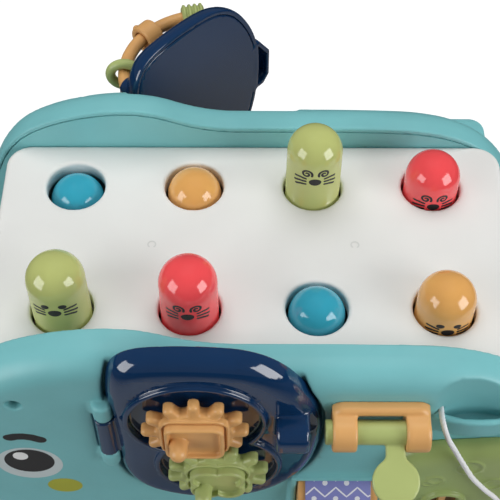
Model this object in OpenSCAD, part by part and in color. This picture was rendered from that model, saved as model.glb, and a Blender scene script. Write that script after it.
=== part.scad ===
// Elephant hammer toy: a white pounding box between two moulded elephant sides,
// eight pop-up moles on rocking levers, two hinged ears, a gear pair and small finger toys.
// Millimetres, +Z up, origin at the centre of the base, the head towards -X, the front towards -Y.

/* [Pounding box] */
// Length of the white box
deck_length = 246; // [236:1:270]
// Width of the white box between the two sides
deck_width = 124; // [120:1:140]
// Height of the deck above the table
deck_height = 155; // [150:1:175]
// Radius of the box's upright corners
deck_corner = 12; // [6:1:20]
// Wall thickness of the box
deck_wall = 2.6; // [2:0.2:4]
// Thickness of the base tray's plate
tray_plate = 3; // [2:0.5:5]

/* [Moles] */
// Distance between neighbouring moles along the box
hole_pitch = 58; // [50:1:60]
// Distance between the front and the rear row
row_gap = 71.4; // [66:0.2:76]
// Diameter of a mole
mole_d = 26.4; // [22:0.2:30]
// Clearance between a mole and its hole, on the radius
mole_clearance = 1.5; // [0.6:0.1:2.5]
// Length of a mole's shell from crown to skirt
mole_length = 56; // [53:1:62]
// Length of a mole's stem below its skirt
stem_drop = 16; // [14:1:20]
// Height of a mole's crown above the deck with its lever level
crown_level = 19; // [17:0.5:19]
// Rise of each column's front mole above the deck
front_rise = [35.7, 33, 7.7, 20.8]; // [1:0.1:37]
// Rise of each column's rear mole above the deck
rear_rise = [2.5, 7.2, 39.6, 21.2]; // [1:0.1:40]

/* [Levers] */
// Diameter of the lever shaft
shaft_d = 5; // [4:0.5:7]
// Running clearance on a shaft or pin, on the radius
running = 0.05; // [0.03:0.01:0.1]
// Clearance of a pin in the piece that holds it, on the radius
seat = 0.02; // [0.01:0.01:0.05]
// Width of a lever along its shaft
lever_width = 12; // [8:1:16]
// Radius of a lever's rounded tip
lever_tip_r = 5; // [4:0.5:6]
// Least gap between a lever's tip and a mole's foot
lever_gap = 1.2; // [0.8:0.1:2]

/* [Elephant sides] */
// Depth of an elephant side
side_depth = 20; // [18:0.5:26]
// Radius of the side's rounded outer edge
side_fillet = 12; // [6:0.5:13]
// Wall thickness of the side's shell
side_wall = 2.6; // [2:0.2:3]
// Thickness of the flat cover inside a side
cover_plate = 2.4; // [1.6:0.2:3]
// Reach of the trunk from the middle
trunk_reach = 164; // [156:1:176]
// Reach of the rump from the middle
rump_reach = 150; // [146:1:160]
// Height of the head's crown above the deck
hump_rise = 27; // [22:1:36]
// Height of the back above the deck
back_rise = 12.6; // [11:0.1:18]
// Height of the leg arch
arch_rise = 36; // [30:1:38]

/* [Ears] */
// Distance of an ear's hinge from the middle
hinge_x = 66; // [64:0.5:72]
// Width of an ear from its hinge
ear_width = 96; // [92:0.5:97]
// Top of an ear above the deck
ear_top = 35.5; // [32:0.5:40]
// Bottom of an ear below the deck
ear_bottom = 95.5; // [92:0.5:104]
// Thickness of an ear
ear_thickness = 11; // [10:0.5:13]
// Radius of an ear's rounded rim
ear_round = 9.5; // [6:0.5:9.5]
// Depth of the pocket that an ear closes into
ear_pocket = 5; // [3:0.5:5.5]
// Gap round a closed ear
ear_gap = 1.2; // [0.8:0.1:2]
// Angle at which the rear ear stands open
rear_ear_open = 48; // [0:1:100]
// Diameter of a hinge pin
pin_d = 3; // [2:0.2:4]
// Outer diameter of a hinge knuckle
knuckle_d = 9.2; // [8:0.2:9.6]

/* [Gears] */
// Teeth on each gear
gear_teeth = 12; // [10:1:14]
// Tip radius of a gear
gear_tip_r = 23.4; // [22.6:0.1:24]
// Root radius of a gear
gear_root_r = 16.8; // [15:0.1:17.6]
// Depth left free below a meshing tooth's tip
mesh_gap = 1.8; // [1.6:0.1:3.4]
// Share of the pitch that a tooth takes up at its tip
tooth_share = 0.42; // [0.3:0.01:0.44]
// Thickness of a gear
gear_thickness = 8; // [6:0.5:10]
// Depth of the round recesses behind the gears
gear_recess = 2; // [1:0.5:4]
// Diameter of a gear's axle
gear_axle_d = 6; // [4:0.5:8]
// Height of a gear's dished hub
hub_height = 5.2; // [4.6:0.2:8]
// Length of the turning peg above the hub's dish
peg_length = 10.5; // [8:0.5:16]

/* [Bolt] */
// Diameter of the sliding bolt
bolt_d = 10.6; // [9:0.2:11]
// Length of the bolt's rod
bolt_length = 47; // [44:1:50]
// Width of each bracket loop
loop_width = 10.5; // [9:0.5:12]
// Inside distance between the bracket's loops
loop_gap = 21.6; // [18:0.2:24]
// Wall of a bracket loop
loop_wall = 3; // [2.2:0.2:4]
// Radius of the bolt's round paddle
paddle_r = 9.6; // [7:0.2:11]
// Reach of the paddle's centre from the rod
paddle_reach = 21.3; // [20:0.1:24]

/* [Roller] */
// Diameter of the picture roller
roller_d = 30; // [26:0.5:30]
// Length of the picture roller
roller_length = 39; // [34:0.5:42]
// Thickness of the printed sleeve
sleeve_wall = 1.2; // [0.8:0.1:2]
// Diameter of the roller's axle
roller_axle_d = 4; // [3:0.5:6]
// Height of the raised window frame
frame_rise = 2.5; // [1.5:0.5:4]

/* [Hill and holder] */
// Bulge of the green hill in front of the side
hill_bulge = 8; // [5:0.5:9]
// Reach of the hammer holder's lip in front of the side
holder_reach = 8.5; // [7:0.5:10]
// Height of the hammer holder's lip
holder_height = 12; // [9:0.5:16]
// Depth of the shallow scoop behind the holder
scoop_depth = 3; // [2:0.5:5]
// Width of the scoop behind the holder
scoop_width = 29; // [24:1:32]

/* [Beads] */
// Diameter of the bead rod on the rear ear
rod_d = 6; // [5:0.5:8]
// Rise of the bead rod above the ear
rod_rise = 18; // [17:0.5:22]
// Distance between the bead rod's feet
rod_span = 69; // [64:1:72]
// Inside radius of a bead
bead_hole_r = 4.6; // [4.4:0.1:5.4]

/* [Hammer and cord] */
// Diameter of the hammer's head
hammer_head_d = 32; // [26:1:40]
// Length of the hammer's head
hammer_head_length = 54; // [44:1:64]
// Length of the hammer's handle
handle_length = 112; // [104:1:112]
// Width of the hammer's flat handle
handle_width = 15; // [11:0.5:16]
// Thickness of the hammer's flat handle
handle_thickness = 6; // [5:0.5:7]
// Diameter of the braided cord
cord_d = 2.2; // [2:0.1:2.8]

/* [Hidden] */
$fn = 48;
columns = [0 : 3];
MOLE_NAMES = ["mole_front_1", "mole_front_2", "mole_front_3", "mole_front_4",
              "mole_rear_1", "mole_rear_2", "mole_rear_3", "mole_rear_4"];
LEVER_NAMES = ["lever_1", "lever_2", "lever_3", "lever_4"];

teal = [0.44, 0.70, 0.72];
white = [0.91, 0.91, 0.89];
navy = [0.10, 0.17, 0.31];
orange = [0.87, 0.63, 0.37];
green = [0.69, 0.75, 0.46];
red = [0.93, 0.33, 0.36];
blue = [0.16, 0.58, 0.75];
sand = [0.88, 0.63, 0.30];
purple = [0.48, 0.45, 0.68];
brown = [0.45, 0.27, 0.16];
steel = [0.72, 0.73, 0.75];
cord_white = [0.93, 0.93, 0.93];
MOLE_COLOURS = [green, red, blue, sand, blue, sand, green, red];
eps = 0.01;

// Main planes
half_l = deck_length/2;
half_w = deck_width/2;
face = half_w + side_depth;
inside_face = face - side_wall;
hole_r = mole_d/2 + mole_clearance;

// Smooth closed loop: one parabola for each corner of the guide polygon, between edge middles
function corner(ctrl, i) = ctrl[(i + len(ctrl)) % len(ctrl)];
function smooth_loop(ctrl, steps) = [
    for (i = [0 : len(ctrl) - 1])
        let (a = (corner(ctrl, i - 1) + ctrl[i])/2, c = (ctrl[i] + corner(ctrl, i + 1))/2)
            for (k = [0 : steps - 1])
                let (t = k/steps)
                    (1 - t)*(1 - t)*a + 2*t*(1 - t)*ctrl[i] + t*t*c];

// The same loop moved inwards; the loop runs anticlockwise
function inset(loop, d) = [
    for (i = [0 : len(loop) - 1])
        let (t = corner(loop, i + 1) - corner(loop, i - 1), n = [-t.y, t.x]/norm(t))
            loop[i] + d*n];

// Ring solid along a loop whose cross-section runs through [inset, depth] corners, depth towards -Y
module band(loop, section) {
    n = len(loop);
    m = len(section);
    points = [for (s = section) for (p = inset(loop, s[0])) [p.x, -s[1], p.y]];
    faces = [for (k = [0 : m - 1]) for (i = [0 : n - 1])
        let (j = (i + 1) % n, a = k*n, b = ((k + 1) % m)*n)
            for (f = [[a + i, b + i, b + j], [a + i, b + j, a + j]]) f];
    polyhedron(points, faces);
}

// Upright plate of a loop's shape between two depths, towards -Y
module plate(loop, near, far) {
    translate([0, -near, 0])
        rotate([90, 0, 0])
            linear_extrude(far - near)
                polygon(loop);
}

// Upright plate whose far edge is a quarter-round
module rounded_plate(loop, near, far, r, steps) {
    arc = [for (k = [0 : steps]) let (a = 90*k/steps) [r*(1 - cos(a)), far - r + r*sin(a)]];
    plate(loop, near, far - r);
    band(loop, concat(arc, [[r, far - r]]));
    plate(inset(loop, r), far - r, far);
}

// Cylinders along the three axes, from one coordinate to another
module rod_x(x0, x1, y, z, r) {
    translate([x0, y, z]) rotate([0, 90, 0]) cylinder(r = r, h = x1 - x0);
}
module rod_y(x, near, far, z, r) {
    translate([x, -near, z]) rotate([90, 0, 0]) cylinder(r = r, h = far - near);
}
module rod_z(x, y, z0, z1, r) {
    translate([x, y, z0]) cylinder(r = r, h = z1 - z0);
}

// Box between two corners
module block(a, b) {
    translate(a) cube(b - a);
}

// Upright box with round corners, from one height to another
module rounded_box(l, w, r, z0, z1) {
    translate([0, 0, z0])
        linear_extrude(z1 - z0)
            union() {
                square([l - 2*r, w], center = true);
                square([l, w - 2*r], center = true);
                for (x = [-1, 1], y = [-1, 1])
                    translate([x*(l/2 - r), y*(w/2 - r)]) circle(r);
            }
}

// Pounding box
function hole_x(c) = (c - 1.5)*hole_pitch;
function hole_y(rear) = (rear ? 1 : -1)*row_gap/2;
hole_lip = 2;
collar_drop = 6;
collar_wall = 1.8;
tray_rim = 12;
tray_fit = 0.2;
hanger_t = 4;
hanger_w = 14;
hanger_gap = 2;
hanger_end = 1.5*hole_pitch + lever_width/2 + hanger_gap + hanger_t/2;
hanger_x = [-hanger_end, -hole_pitch, 0, hole_pitch, hanger_end];
lever_y = row_gap/2;
shaft_z = deck_height + crown_level - mole_length - stem_drop - lever_gap - lever_tip_r;
boss_r = 5.5;
boss_height = 26;
boss_x = half_l - deck_wall - 7;
boss_y = half_w - deck_wall - 7;
boss_web = half_l - deck_wall/2 - boss_x;
screw_r = 1.5;
screw_fit = 0.05;
head_r = 3.2;
head_h = 2.2;

module each_hole() {
    for (c = columns, rear = [false, true])
        translate([hole_x(c), hole_y(rear), deck_height]) children();
}

module each_boss() {
    for (x = [-1, 1], y = [-1, 1])
        translate([x*boss_x, y*boss_y, 0]) children();
}

// Ring of material that a hole's soft rim loses
module lip_cut() {
    rotate_extrude()
        difference() {
            translate([hole_r - eps, -hole_lip]) square([hole_lip + eps, hole_lip + eps]);
            translate([hole_r + hole_lip, -hole_lip]) circle(hole_lip);
        }
}

module deck_cover() {
    color(white)
        difference() {
            union() {
                difference() {
                    rounded_box(deck_length, deck_width, deck_corner, tray_plate, deck_height);
                    rounded_box(deck_length - 2*deck_wall, deck_width - 2*deck_wall,
                        deck_corner - deck_wall, tray_plate - 1, deck_height - deck_wall);
                }
                each_hole()
                    translate([0, 0, -deck_wall - collar_drop])
                        cylinder(r = hole_r + collar_wall, h = collar_drop + deck_wall/2);
                for (x = hanger_x)
                    block([x - hanger_t/2, -hanger_w/2, shaft_z - hanger_w/2],
                        [x + hanger_t/2, hanger_w/2, deck_height - deck_wall/2]);
                each_boss() rod_z(0, 0, tray_plate, tray_plate + boss_height, boss_r);
                for (x = [-boss_x - boss_web, boss_x], y = [-boss_y, boss_y])
                    block([x, y - 1, tray_plate], [x + boss_web, y + 1, tray_plate + boss_height]);
            }
            each_hole() {
                translate([0, 0, -deck_wall - collar_drop - 1])
                    cylinder(r = hole_r, h = deck_wall + collar_drop + 2);
                lip_cut();
            }
            rod_x(hanger_x[0] - hanger_t, hanger_x[4] + hanger_t, 0, shaft_z, shaft_d/2 + seat);
            each_boss() rod_z(0, 0, tray_plate - 1, tray_plate + boss_height - 4, screw_r + screw_fit);
            side_screw_holes();
            mirror([0, 1, 0]) side_screw_holes();
        }
}

module base_tray() {
    rim_l = deck_length - 2*deck_wall - 2*tray_fit;
    rim_w = deck_width - 2*deck_wall - 2*tray_fit;
    rim_r = deck_corner - deck_wall - tray_fit;
    color(white)
        difference() {
            union() {
                rounded_box(deck_length, deck_width, deck_corner, 0, tray_plate);
                difference() {
                    rounded_box(rim_l, rim_w, rim_r, tray_plate - eps, tray_plate + tray_rim);
                    rounded_box(rim_l - 2*deck_wall, rim_w - 2*deck_wall, rim_r - deck_wall,
                        tray_plate - 1, tray_plate + tray_rim + 1);
                    for (x = [0, 180], y = [0, 1])
                        rotate(x) mirror([0, y, 0])
                            block([boss_x - boss_r - 2, boss_y - boss_r - 2, tray_plate - 1],
                                [half_l, half_w, tray_plate + tray_rim + 2]);
                }
            }
            each_boss() {
                rod_z(0, 0, -1, tray_plate + 1, screw_r + screw_fit);
                rod_z(0, 0, -1, head_h - 0.4, head_r + 0.4);
            }
        }
}

module base_screws() {
    color(steel)
        each_boss() {
            rod_z(0, 0, 0.2, head_h - 0.4, head_r);
            rod_z(0, 0, 0.2, tray_plate + 14, screw_r);
        }
}

// Moles and levers
function rise(c, rear) = rear ? rear_rise[c] : front_rise[c];
lever_lift = [for (c = columns) (front_rise[c] - rear_rise[c])/2];
lever_angle = [for (c = columns) asin(lever_lift[c]/lever_y)];
mole_wall = 2.2;
stem_r = 6.5;
foot_r = hole_r + 1;
foot_h = 2.4;

// One mole at its own rise: a domed shell with a flanged foot and a central stem
module mole(c, rear) {
    r = mole_d/2;
    color(MOLE_COLOURS[c + (rear ? 4 : 0)])
        translate([hole_x(c), hole_y(rear), deck_height + rise(c, rear) - mole_length])
            difference() {
                union() {
                    cylinder(r = r, h = mole_length - r);
                    translate([0, 0, mole_length - r]) sphere(r);
                    cylinder(r = foot_r, h = foot_h);
                    translate([0, 0, -stem_drop]) cylinder(r = stem_r, h = stem_drop + foot_h);
                }
                difference() {
                    union() {
                        translate([0, 0, -1]) cylinder(r = r - mole_wall, h = mole_length - r + 1);
                        translate([0, 0, mole_length - r]) sphere(r - mole_wall);
                    }
                    translate([0, 0, -stem_drop - 1]) cylinder(r = stem_r, h = mole_length + stem_drop);
                }
            }
}

// One lever on the shaft, tilted as its two moles stand
module lever(c) {
    hub_r = shaft_d/2 + 4;
    color(white)
        translate([hole_x(c), 0, shaft_z])
            rotate([-lever_angle[c], 0, 0])
                difference() {
                    union() {
                        rod_x(-lever_width/2, lever_width/2, 0, 0, hub_r);
                        for (s = [-1, 1]) rod_x(-lever_width/2, lever_width/2, s*lever_y, 0, lever_tip_r);
                        block([-lever_width/2, -lever_y, -lever_tip_r],
                            [lever_width/2, lever_y, -lever_tip_r + 3]);
                        block([-1.5, -lever_y, -lever_tip_r], [1.5, lever_y, lever_tip_r - 4]);
                    }
                    rod_x(-lever_width, lever_width, 0, 0, shaft_d/2 + running);
                }
}

module lever_shaft() {
    color(steel)
        rod_x(hanger_x[0] - hanger_t/2 - 1, hanger_x[4] + hanger_t/2 + 1, 0, shaft_z, shaft_d/2);
}

// Outline of an elephant side, anticlockwise seen from the front
foot_l = 46;
trunk_gap = 14;
hind_in = rump_reach - 2*foot_l;
trunk_in = trunk_reach - 44;
front_out = trunk_in - trunk_gap;
SIDE_GUIDE = [
    [-half_l - 19, deck_height - 42], [-trunk_reach + 2, 96], [-trunk_reach, 48], [-trunk_reach, 0],
    [-trunk_in, 0], [-trunk_in + 2, 44], [-front_out - 2, 44],
    [-front_out, 0], [-front_out + foot_l, 0], [-hind_in + 4, arch_rise], [0, arch_rise],
    [hind_in - 4, arch_rise], [hind_in, 0], [hind_in + foot_l, 0], [rump_reach, 0], [rump_reach, 46],
    [rump_reach - 4, deck_height - 80],
    [half_l + 13, deck_height - 26], [half_l - 5, deck_height - 2],
    [half_l - 31, deck_height + back_rise - 2], [half_l - 67, deck_height + back_rise],
    [8, deck_height + back_rise], [-24, deck_height + back_rise],
    [-half_l + 67, deck_height + hump_rise], [-half_l + 25, deck_height + hump_rise - 7],
    [-half_l - 3, deck_height + 2]];
SIDE_STEPS = 4;
side_loop = smooth_loop(SIDE_GUIDE, SIDE_STEPS);

module side_outer() {
    rounded_plate(side_loop, half_w, face, side_fillet, 4);
}

rim_step = half_w + side_depth - side_fillet;
deep_inset = side_fillet*0.7;
module side_cavity() {
    plate(inset(side_loop, side_wall), half_w - 1, rim_step);
    plate(inset(side_loop, deep_inset), rim_step - 1, inside_face);
}

// Screws that hold each side to the box
leg_screw_z = 26;
head_screw_in = 18;
head_screw_drop = 8;
SCREW_SPOTS = [[-half_l + head_screw_in, deck_height - head_screw_drop],
    [-front_out + foot_l/2, leg_screw_z], [hind_in + foot_l, leg_screw_z]];
screw_boss_r = head_r + 2.6;
screw_seat = half_w + 6;
module each_screw() {
    for (s = SCREW_SPOTS) translate([s.x, 0, s.y]) children();
}
module side_screw_holes() {
    each_screw() rod_y(0, half_w - deck_wall - 4, face + 1, 0, screw_r + screw_fit);
}
module screw_wells() {
    each_screw() rod_y(0, screw_seat, face + 1, 0, head_r + 0.6);
}
module side_screws() {
    color(steel)
        each_screw() {
            rod_y(0, screw_seat, screw_seat + head_h, 0, head_r);
            rod_y(0, half_w - deck_wall - 3, screw_seat + eps, 0, screw_r);
        }
}

// Ears
ear_back = face - ear_pocket;
ear_face = ear_back + ear_thickness;
ear_floor = ear_face - gear_recess;
hinge_y = face + 0.8;
function ear_point(u, w) = [-hinge_x + u*ear_width, deck_height + w];
EAR_GUIDE = [
    ear_point(0.04, -30), ear_point(0.03, -76), ear_point(0.31, -ear_bottom), ear_point(0.69, -ear_bottom),
    ear_point(0.96, -70), ear_point(1.03, -32), ear_point(0.975, -1), ear_point(0.75, ear_top - 4),
    ear_point(0.375, ear_top), ear_point(0.085, ear_top - 3), ear_point(0.01, 9)];
EAR_STEPS = 4;
ear_loop = smooth_loop(EAR_GUIDE, EAR_STEPS);
ear_rim = 5;
ear_cover_t = 2.2;

// Hinge: two knuckles on the side with the ear's barrel between them
hinge_drop = 3;
upper_knuckle = 12;
barrel_length = 31;
lower_knuckle = 11;
knuckle_top = deck_height - hinge_drop;
barrel_top = knuckle_top - upper_knuckle;
barrel_bottom = barrel_top - barrel_length;
knuckle_bottom = barrel_bottom - lower_knuckle;
hinge_play = 0.4;
knuckle_r = knuckle_d/2;

// Gears on the front ear
gear_line = -77.4;
gear_distance = gear_tip_r + gear_root_r + mesh_gap;
orange_at = [-25.3, deck_height - 10];
green_at = orange_at + gear_distance*[cos(gear_line), sin(gear_line)];
gear_pitch = 360/gear_teeth;
orange_phase = 90;
green_phase = 2*gear_line + 180 - orange_phase - gear_pitch/2;
tooth_tip = tooth_share*PI*gear_distance/gear_teeth/2;
tooth_root = tooth_tip + 0.6;
recess_margin = 6.5;
upper_recess_r = gear_tip_r + recess_margin;
lower_recess_r = gear_tip_r + recess_margin - 3;
bead_w = 3;
bead_rise = 2.2;
gear_gap = 1;
gear_back = ear_floor + gear_gap;
gear_front = gear_back + gear_thickness;

// Bolt line
bolt_y = face + 9;
bolt_z = deck_height - 14.4;
ear_edge = ear_width - hinge_x;
bracket_x0 = ear_edge + 3.5;
bracket_x1 = bracket_x0 + 2*loop_width + loop_gap;
bolt_x0 = ear_edge + 2.5;
bolt_room = 0.5;
loop_r = bolt_d/2 + bolt_room + loop_wall;
lug_x0 = ear_edge - 19.5;
lug_x1 = ear_edge - 6;
lug_wall = 2.8;
lug_half = bolt_d/2 + 0.6;

module gear_recess_discs(grow, near, far) {
    rod_y(orange_at.x, near, far, orange_at.y, upper_recess_r + grow);
    rod_y(green_at.x, near, far, green_at.y, lower_recess_r + grow);
}

// Ear shell without its front fittings, closed
module ear_body() {
    rounded_plate(ear_loop, ear_back, ear_face, ear_round, 5);
    rod_z(-hinge_x, -hinge_y, barrel_bottom + hinge_play, barrel_top - hinge_play, knuckle_r);
    block([-hinge_x, -hinge_y - knuckle_r + 0.6, barrel_bottom + hinge_play],
        [-hinge_x + 11, -face - 0.4, barrel_top - hinge_play]);
}

module ear_lug() {
    block([lug_x0, -bolt_y - lug_half - lug_wall, bolt_z - lug_half - lug_wall],
        [lug_x1, -ear_face + 6, bolt_z + lug_half + lug_wall]);
}

// Hollow pull tab on the rear ear's edge
tab_reach = 11;
tab_top = deck_height - 14;
tab_bottom = deck_height - 50;
tab_wall = 2.6;
function tab_loop(grow) = [
    [ear_edge - 12, tab_bottom - grow], [ear_edge + tab_reach - 5, tab_bottom - grow],
    [ear_edge + tab_reach + grow, tab_bottom + 5], [ear_edge + tab_reach + grow, tab_top - 13],
    [ear_edge + 2 + grow, tab_top + grow], [ear_edge - 12, tab_top + grow]];
module pull_tab() {
    plate(tab_loop(0), ear_back, ear_face - 2);
}
module tab_hollow() {
    difference() {
        plate(tab_loop(-tab_wall), ear_back - 1, ear_face - 2 - tab_wall);
        plate(ear_loop, ear_back - 2, ear_face);
    }
}

module ear_cuts() {
    plate(inset(ear_loop, ear_rim), ear_back - 1, ear_back + ear_cover_t + 2.4);
    rod_z(-hinge_x, -hinge_y, barrel_bottom - 1, barrel_top + 1, pin_d/2 + running);
    rod_z(-hinge_x, -hinge_y, barrel_top - hinge_play, knuckle_top + hinge_play, knuckle_r + 0.5);
    rod_z(-hinge_x, -hinge_y, knuckle_bottom - hinge_play, barrel_bottom + hinge_play, knuckle_r + 0.5);
}
module bolt_socket() {
    block([lug_x0 + lug_wall, -bolt_y - lug_half, bolt_z - lug_half],
        [lug_x1 + 20, -bolt_y + lug_half, bolt_z + lug_half]);
}

module front_ear_shell() {
    color(navy)
        difference() {
            union() {
                ear_body();
                ear_lug();
                gear_recess_discs(bead_w, ear_face - 2, ear_face + bead_rise);
            }
            ear_cuts();
            bolt_socket();
            gear_recess_discs(0, ear_floor, ear_face + 20);
            for (g = [orange_at, green_at])
                rod_y(g.x, ear_back - 1, ear_face, g.y, gear_axle_d/2);
        }
}

module ear_cover_plate() {
    plate(inset(ear_loop, ear_rim + 0.2), ear_back, ear_back + ear_cover_t);
}

module front_ear_cover() {
    color(navy) ear_cover_plate();
}

module gear_axle(at) {
    color(steel)
        rod_y(at.x, ear_back + ear_cover_t, gear_front - 1, at.y, gear_axle_d/2 - running);
}

function turned(p, a) = [p.x*cos(a) - p.y*sin(a), p.x*sin(a) + p.y*cos(a)];

// Square with round corners, anticlockwise
function round_square(half, r) = [
    for (q = [0 : 3]) for (a = [0 : 15 : 90])
        turned([half - r, half - r] + r*[cos(a), sin(a)], 90*q)];

hub_half = 12.8;
hub_corner = 4.5;
hub_wall = 2.4;
collar_gap = 0.7;
collar_w = 1.3;
collar_h = 1.6;
dish_depth = hub_height - 1;
hub_front = gear_front + hub_height;
peg_r = 4.1;
peg_tip_r = 3;
peg_dx = -7.2;
peg_dz = -2;
clover_r = 7;
clover_at = 6.4;

// Tapered peg with a round end, standing in a hub's dish
module turning_peg(at) {
    base = hub_front - dish_depth - 0.5;
    tip = hub_front - dish_depth + peg_length;
    translate([at.x + peg_dx, 0, at.y + peg_dz])
        rotate([90, 0, 0]) domed_peg(peg_r, peg_tip_r, base, tip);
}

// Tapered peg with a domed end along +Z, from one height to another
module domed_peg(root, tip_r, from, to) {
    dome = [for (a = [0 : 25 : 75]) [tip_r*cos(a), to - tip_r + tip_r*sin(a)]];
    rotate_extrude() polygon(concat([[0, from], [root, from]], dome, [[0, dome[3].y]]));
}

// Round disc with tapered, round-ended pegs for teeth
module gear_blank(at, phase) {
    rod_y(at.x, gear_back, gear_front, at.y, gear_root_r);
    for (i = [0 : gear_teeth - 1])
        translate([at.x, -(gear_back + gear_front)/2, at.y])
            rotate([0, 90 - phase - i*gear_pitch, 0])
                domed_peg(tooth_root, tooth_tip, gear_root_r - 2, gear_tip_r);
}

module gear_bore(at) {
    rod_y(at.x, gear_back - 1, gear_front - 0.7, at.y, gear_axle_d/2);
}

module orange_gear() {
    color(orange)
        difference() {
            union() {
                difference() {
                    union() {
                        gear_blank(orange_at, orange_phase);
                        translate([orange_at.x, 0, orange_at.y]) {
                            plate(round_square(hub_half, hub_corner), gear_front - 1, hub_front);
                            difference() {
                                plate(round_square(hub_half + collar_gap + collar_w, hub_corner + collar_w),
                                    gear_front - 1, gear_front + collar_h);
                                plate(round_square(hub_half + collar_gap, hub_corner), gear_front - 0.5,
                                    gear_front + collar_h + 1);
                            }
                        }
                    }
                    translate([orange_at.x, 0, orange_at.y])
                        plate(round_square(hub_half - hub_wall, hub_corner - hub_wall),
                            hub_front - dish_depth, hub_front + 1);
                }
                turning_peg(orange_at);
            }
            gear_bore(orange_at);
        }
}

// Four overlapping discs in the middle of the green gear
module clover(r, near, far) {
    for (q = [45 : 90 : 315])
        rod_y(green_at.x + clover_at*cos(q), near, far, green_at.y + clover_at*sin(q), r);
    rod_y(green_at.x, near, far, green_at.y, clover_at);
}

module green_gear() {
    color(green)
        difference() {
            union() {
                difference() {
                    union() {
                        gear_blank(green_at, green_phase);
                        clover(clover_r, gear_front - 1, hub_front);
                        difference() {
                            clover(clover_r + collar_gap + collar_w, gear_front - 1, gear_front + collar_h);
                            clover(clover_r + collar_gap, gear_front - 0.5, gear_front + collar_h + 1);
                        }
                    }
                    clover(clover_r - hub_wall, hub_front - dish_depth, hub_front + 1);
                }
                turning_peg(green_at);
            }
            gear_bore(green_at);
        }
}

// Places the rear ear's pieces: mirrored from the front, then swung open
module rear_ear_place() {
    translate([-hinge_x, hinge_y, 0])
        rotate([0, 0, rear_ear_open])
            translate([hinge_x, -hinge_y, 0])
                mirror([0, 1, 0]) children();
}

// Bead rod: part of a circle that leaves the ear's face and comes back to it
rod_offset = 5.5;
rod_mid = -hinge_x + ear_width/2 - rod_offset;
rod_z0 = deck_height + 11.5;
rod_foot_r = rod_d/2 + 2;
rod_foot = ear_face + 1;
rod_circle = (rod_span*rod_span/4 + rod_rise*rod_rise)/(2*rod_rise);
rod_centre = rod_foot + rod_rise - rod_circle;
rod_half = asin(rod_span/2/rod_circle);
rod_end = 9;

module rear_ear_shell() {
    color(navy)
        rear_ear_place()
            difference() {
                union() {
                    ear_body();
                    pull_tab();
                    for (x = [rod_mid - rod_span/2, rod_mid + rod_span/2])
                        rod_y(x, ear_face - 5, rod_foot, rod_z0, rod_foot_r);
                }
                ear_cuts();
                tab_hollow();
            }
}

module rear_ear_cover() {
    color(navy) rear_ear_place() ear_cover_plate();
}

module bead_rod() {
    color(orange)
        rear_ear_place()
            difference() {
                translate([rod_mid, -rod_centre, rod_z0])
                    rotate([0, 0, -90 - rod_half - rod_end])
                        rotate_extrude(angle = 2*(rod_half + rod_end))
                            translate([rod_circle, 0]) circle(rod_d/2);
                block([rod_mid - rod_span, -rod_foot, rod_z0 - rod_d],
                    [rod_mid + rod_span, 0, rod_z0 + rod_d]);
            }
}

// A bead at an angle along the rod, hanging on it
module on_rod(angle) {
    rear_ear_place()
        translate([rod_mid, -rod_centre, rod_z0])
            rotate([0, 0, -90 + angle])
                translate([rod_circle, 0, -(bead_hole_r - rod_d/2) + 0.4])
                    rotate([90, 0, 0]) children();
}

GREEN_RING_AT = -43;
ORANGE_RING_AT = -1;
RIBBED_RING_AT = 37;
module ring(r, hole) {
    rotate_extrude() translate([hole + r, 0]) circle(r);
}
module green_ring() {
    color(green) on_rod(GREEN_RING_AT) ring(2.4, bead_hole_r);
}
module orange_ring() {
    color(orange)
        on_rod(ORANGE_RING_AT) {
            difference() {
                translate([0, 0, -5]) cylinder(r = bead_hole_r + 3, h = 10);
                translate([0, 0, -6]) cylinder(r = bead_hole_r, h = 12);
            }
            translate([bead_hole_r + 3.6, 0, 0]) sphere(2.2);
        }
}
module ribbed_ring() {
    color(green)
        on_rod(RIBBED_RING_AT)
            difference() {
                union() {
                    translate([0, 0, -6]) cylinder(r = bead_hole_r + 2, h = 12);
                    for (z = [-4.5 : 3 : 4.5])
                        translate([0, 0, z - 0.8]) cylinder(r = bead_hole_r + 3.2, h = 1.6);
                }
                translate([0, 0, -7]) cylinder(r = bead_hole_r, h = 14);
            }
}

// Hinge pins
module hinge_pin() {
    rod_z(-hinge_x, -hinge_y, knuckle_bottom + 1, knuckle_top - 1, pin_d/2);
}
module front_hinge_pin() {
    color(steel) hinge_pin();
}
module rear_hinge_pin() {
    color(steel) mirror([0, 1, 0]) hinge_pin();
}

// Roller in its window
window_x0 = ear_edge - 8.6;
window_play = 0.6;
roller_x0 = window_x0 + window_play;
roller_x1 = roller_x0 + roller_length;
window_x1 = roller_x1 + window_play;
roller_y = half_w + 0.6 + roller_d/2;
roller_drop = 94;
roller_z = deck_height - roller_drop;
window_half = sqrt(pow(roller_d/2, 2) - pow(face - roller_y, 2)) + 0.8;
frame_w = 3.4;
cheek_t = 3;

module roller_core() {
    color(orange)
        difference() {
            rod_x(roller_x0, roller_x1, -roller_y, roller_z, roller_d/2 - sleeve_wall);
            rod_x(roller_x0 - 1, roller_x1 + 1, -roller_y, roller_z, roller_axle_d/2 + running);
        }
}

sleeve_edge = 3.6;
module roller_sleeve() {
    color(purple)
        difference() {
            rod_x(roller_x0 + sleeve_edge, roller_x1 - sleeve_edge, -roller_y, roller_z, roller_d/2);
            rod_x(roller_x0, roller_x1, -roller_y, roller_z, roller_d/2 - sleeve_wall + seat);
        }
}

module roller_axle() {
    color(steel)
        rod_x(window_x0 - cheek_t, window_x1 + cheek_t, -roller_y, roller_z, roller_axle_d/2);
}

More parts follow.
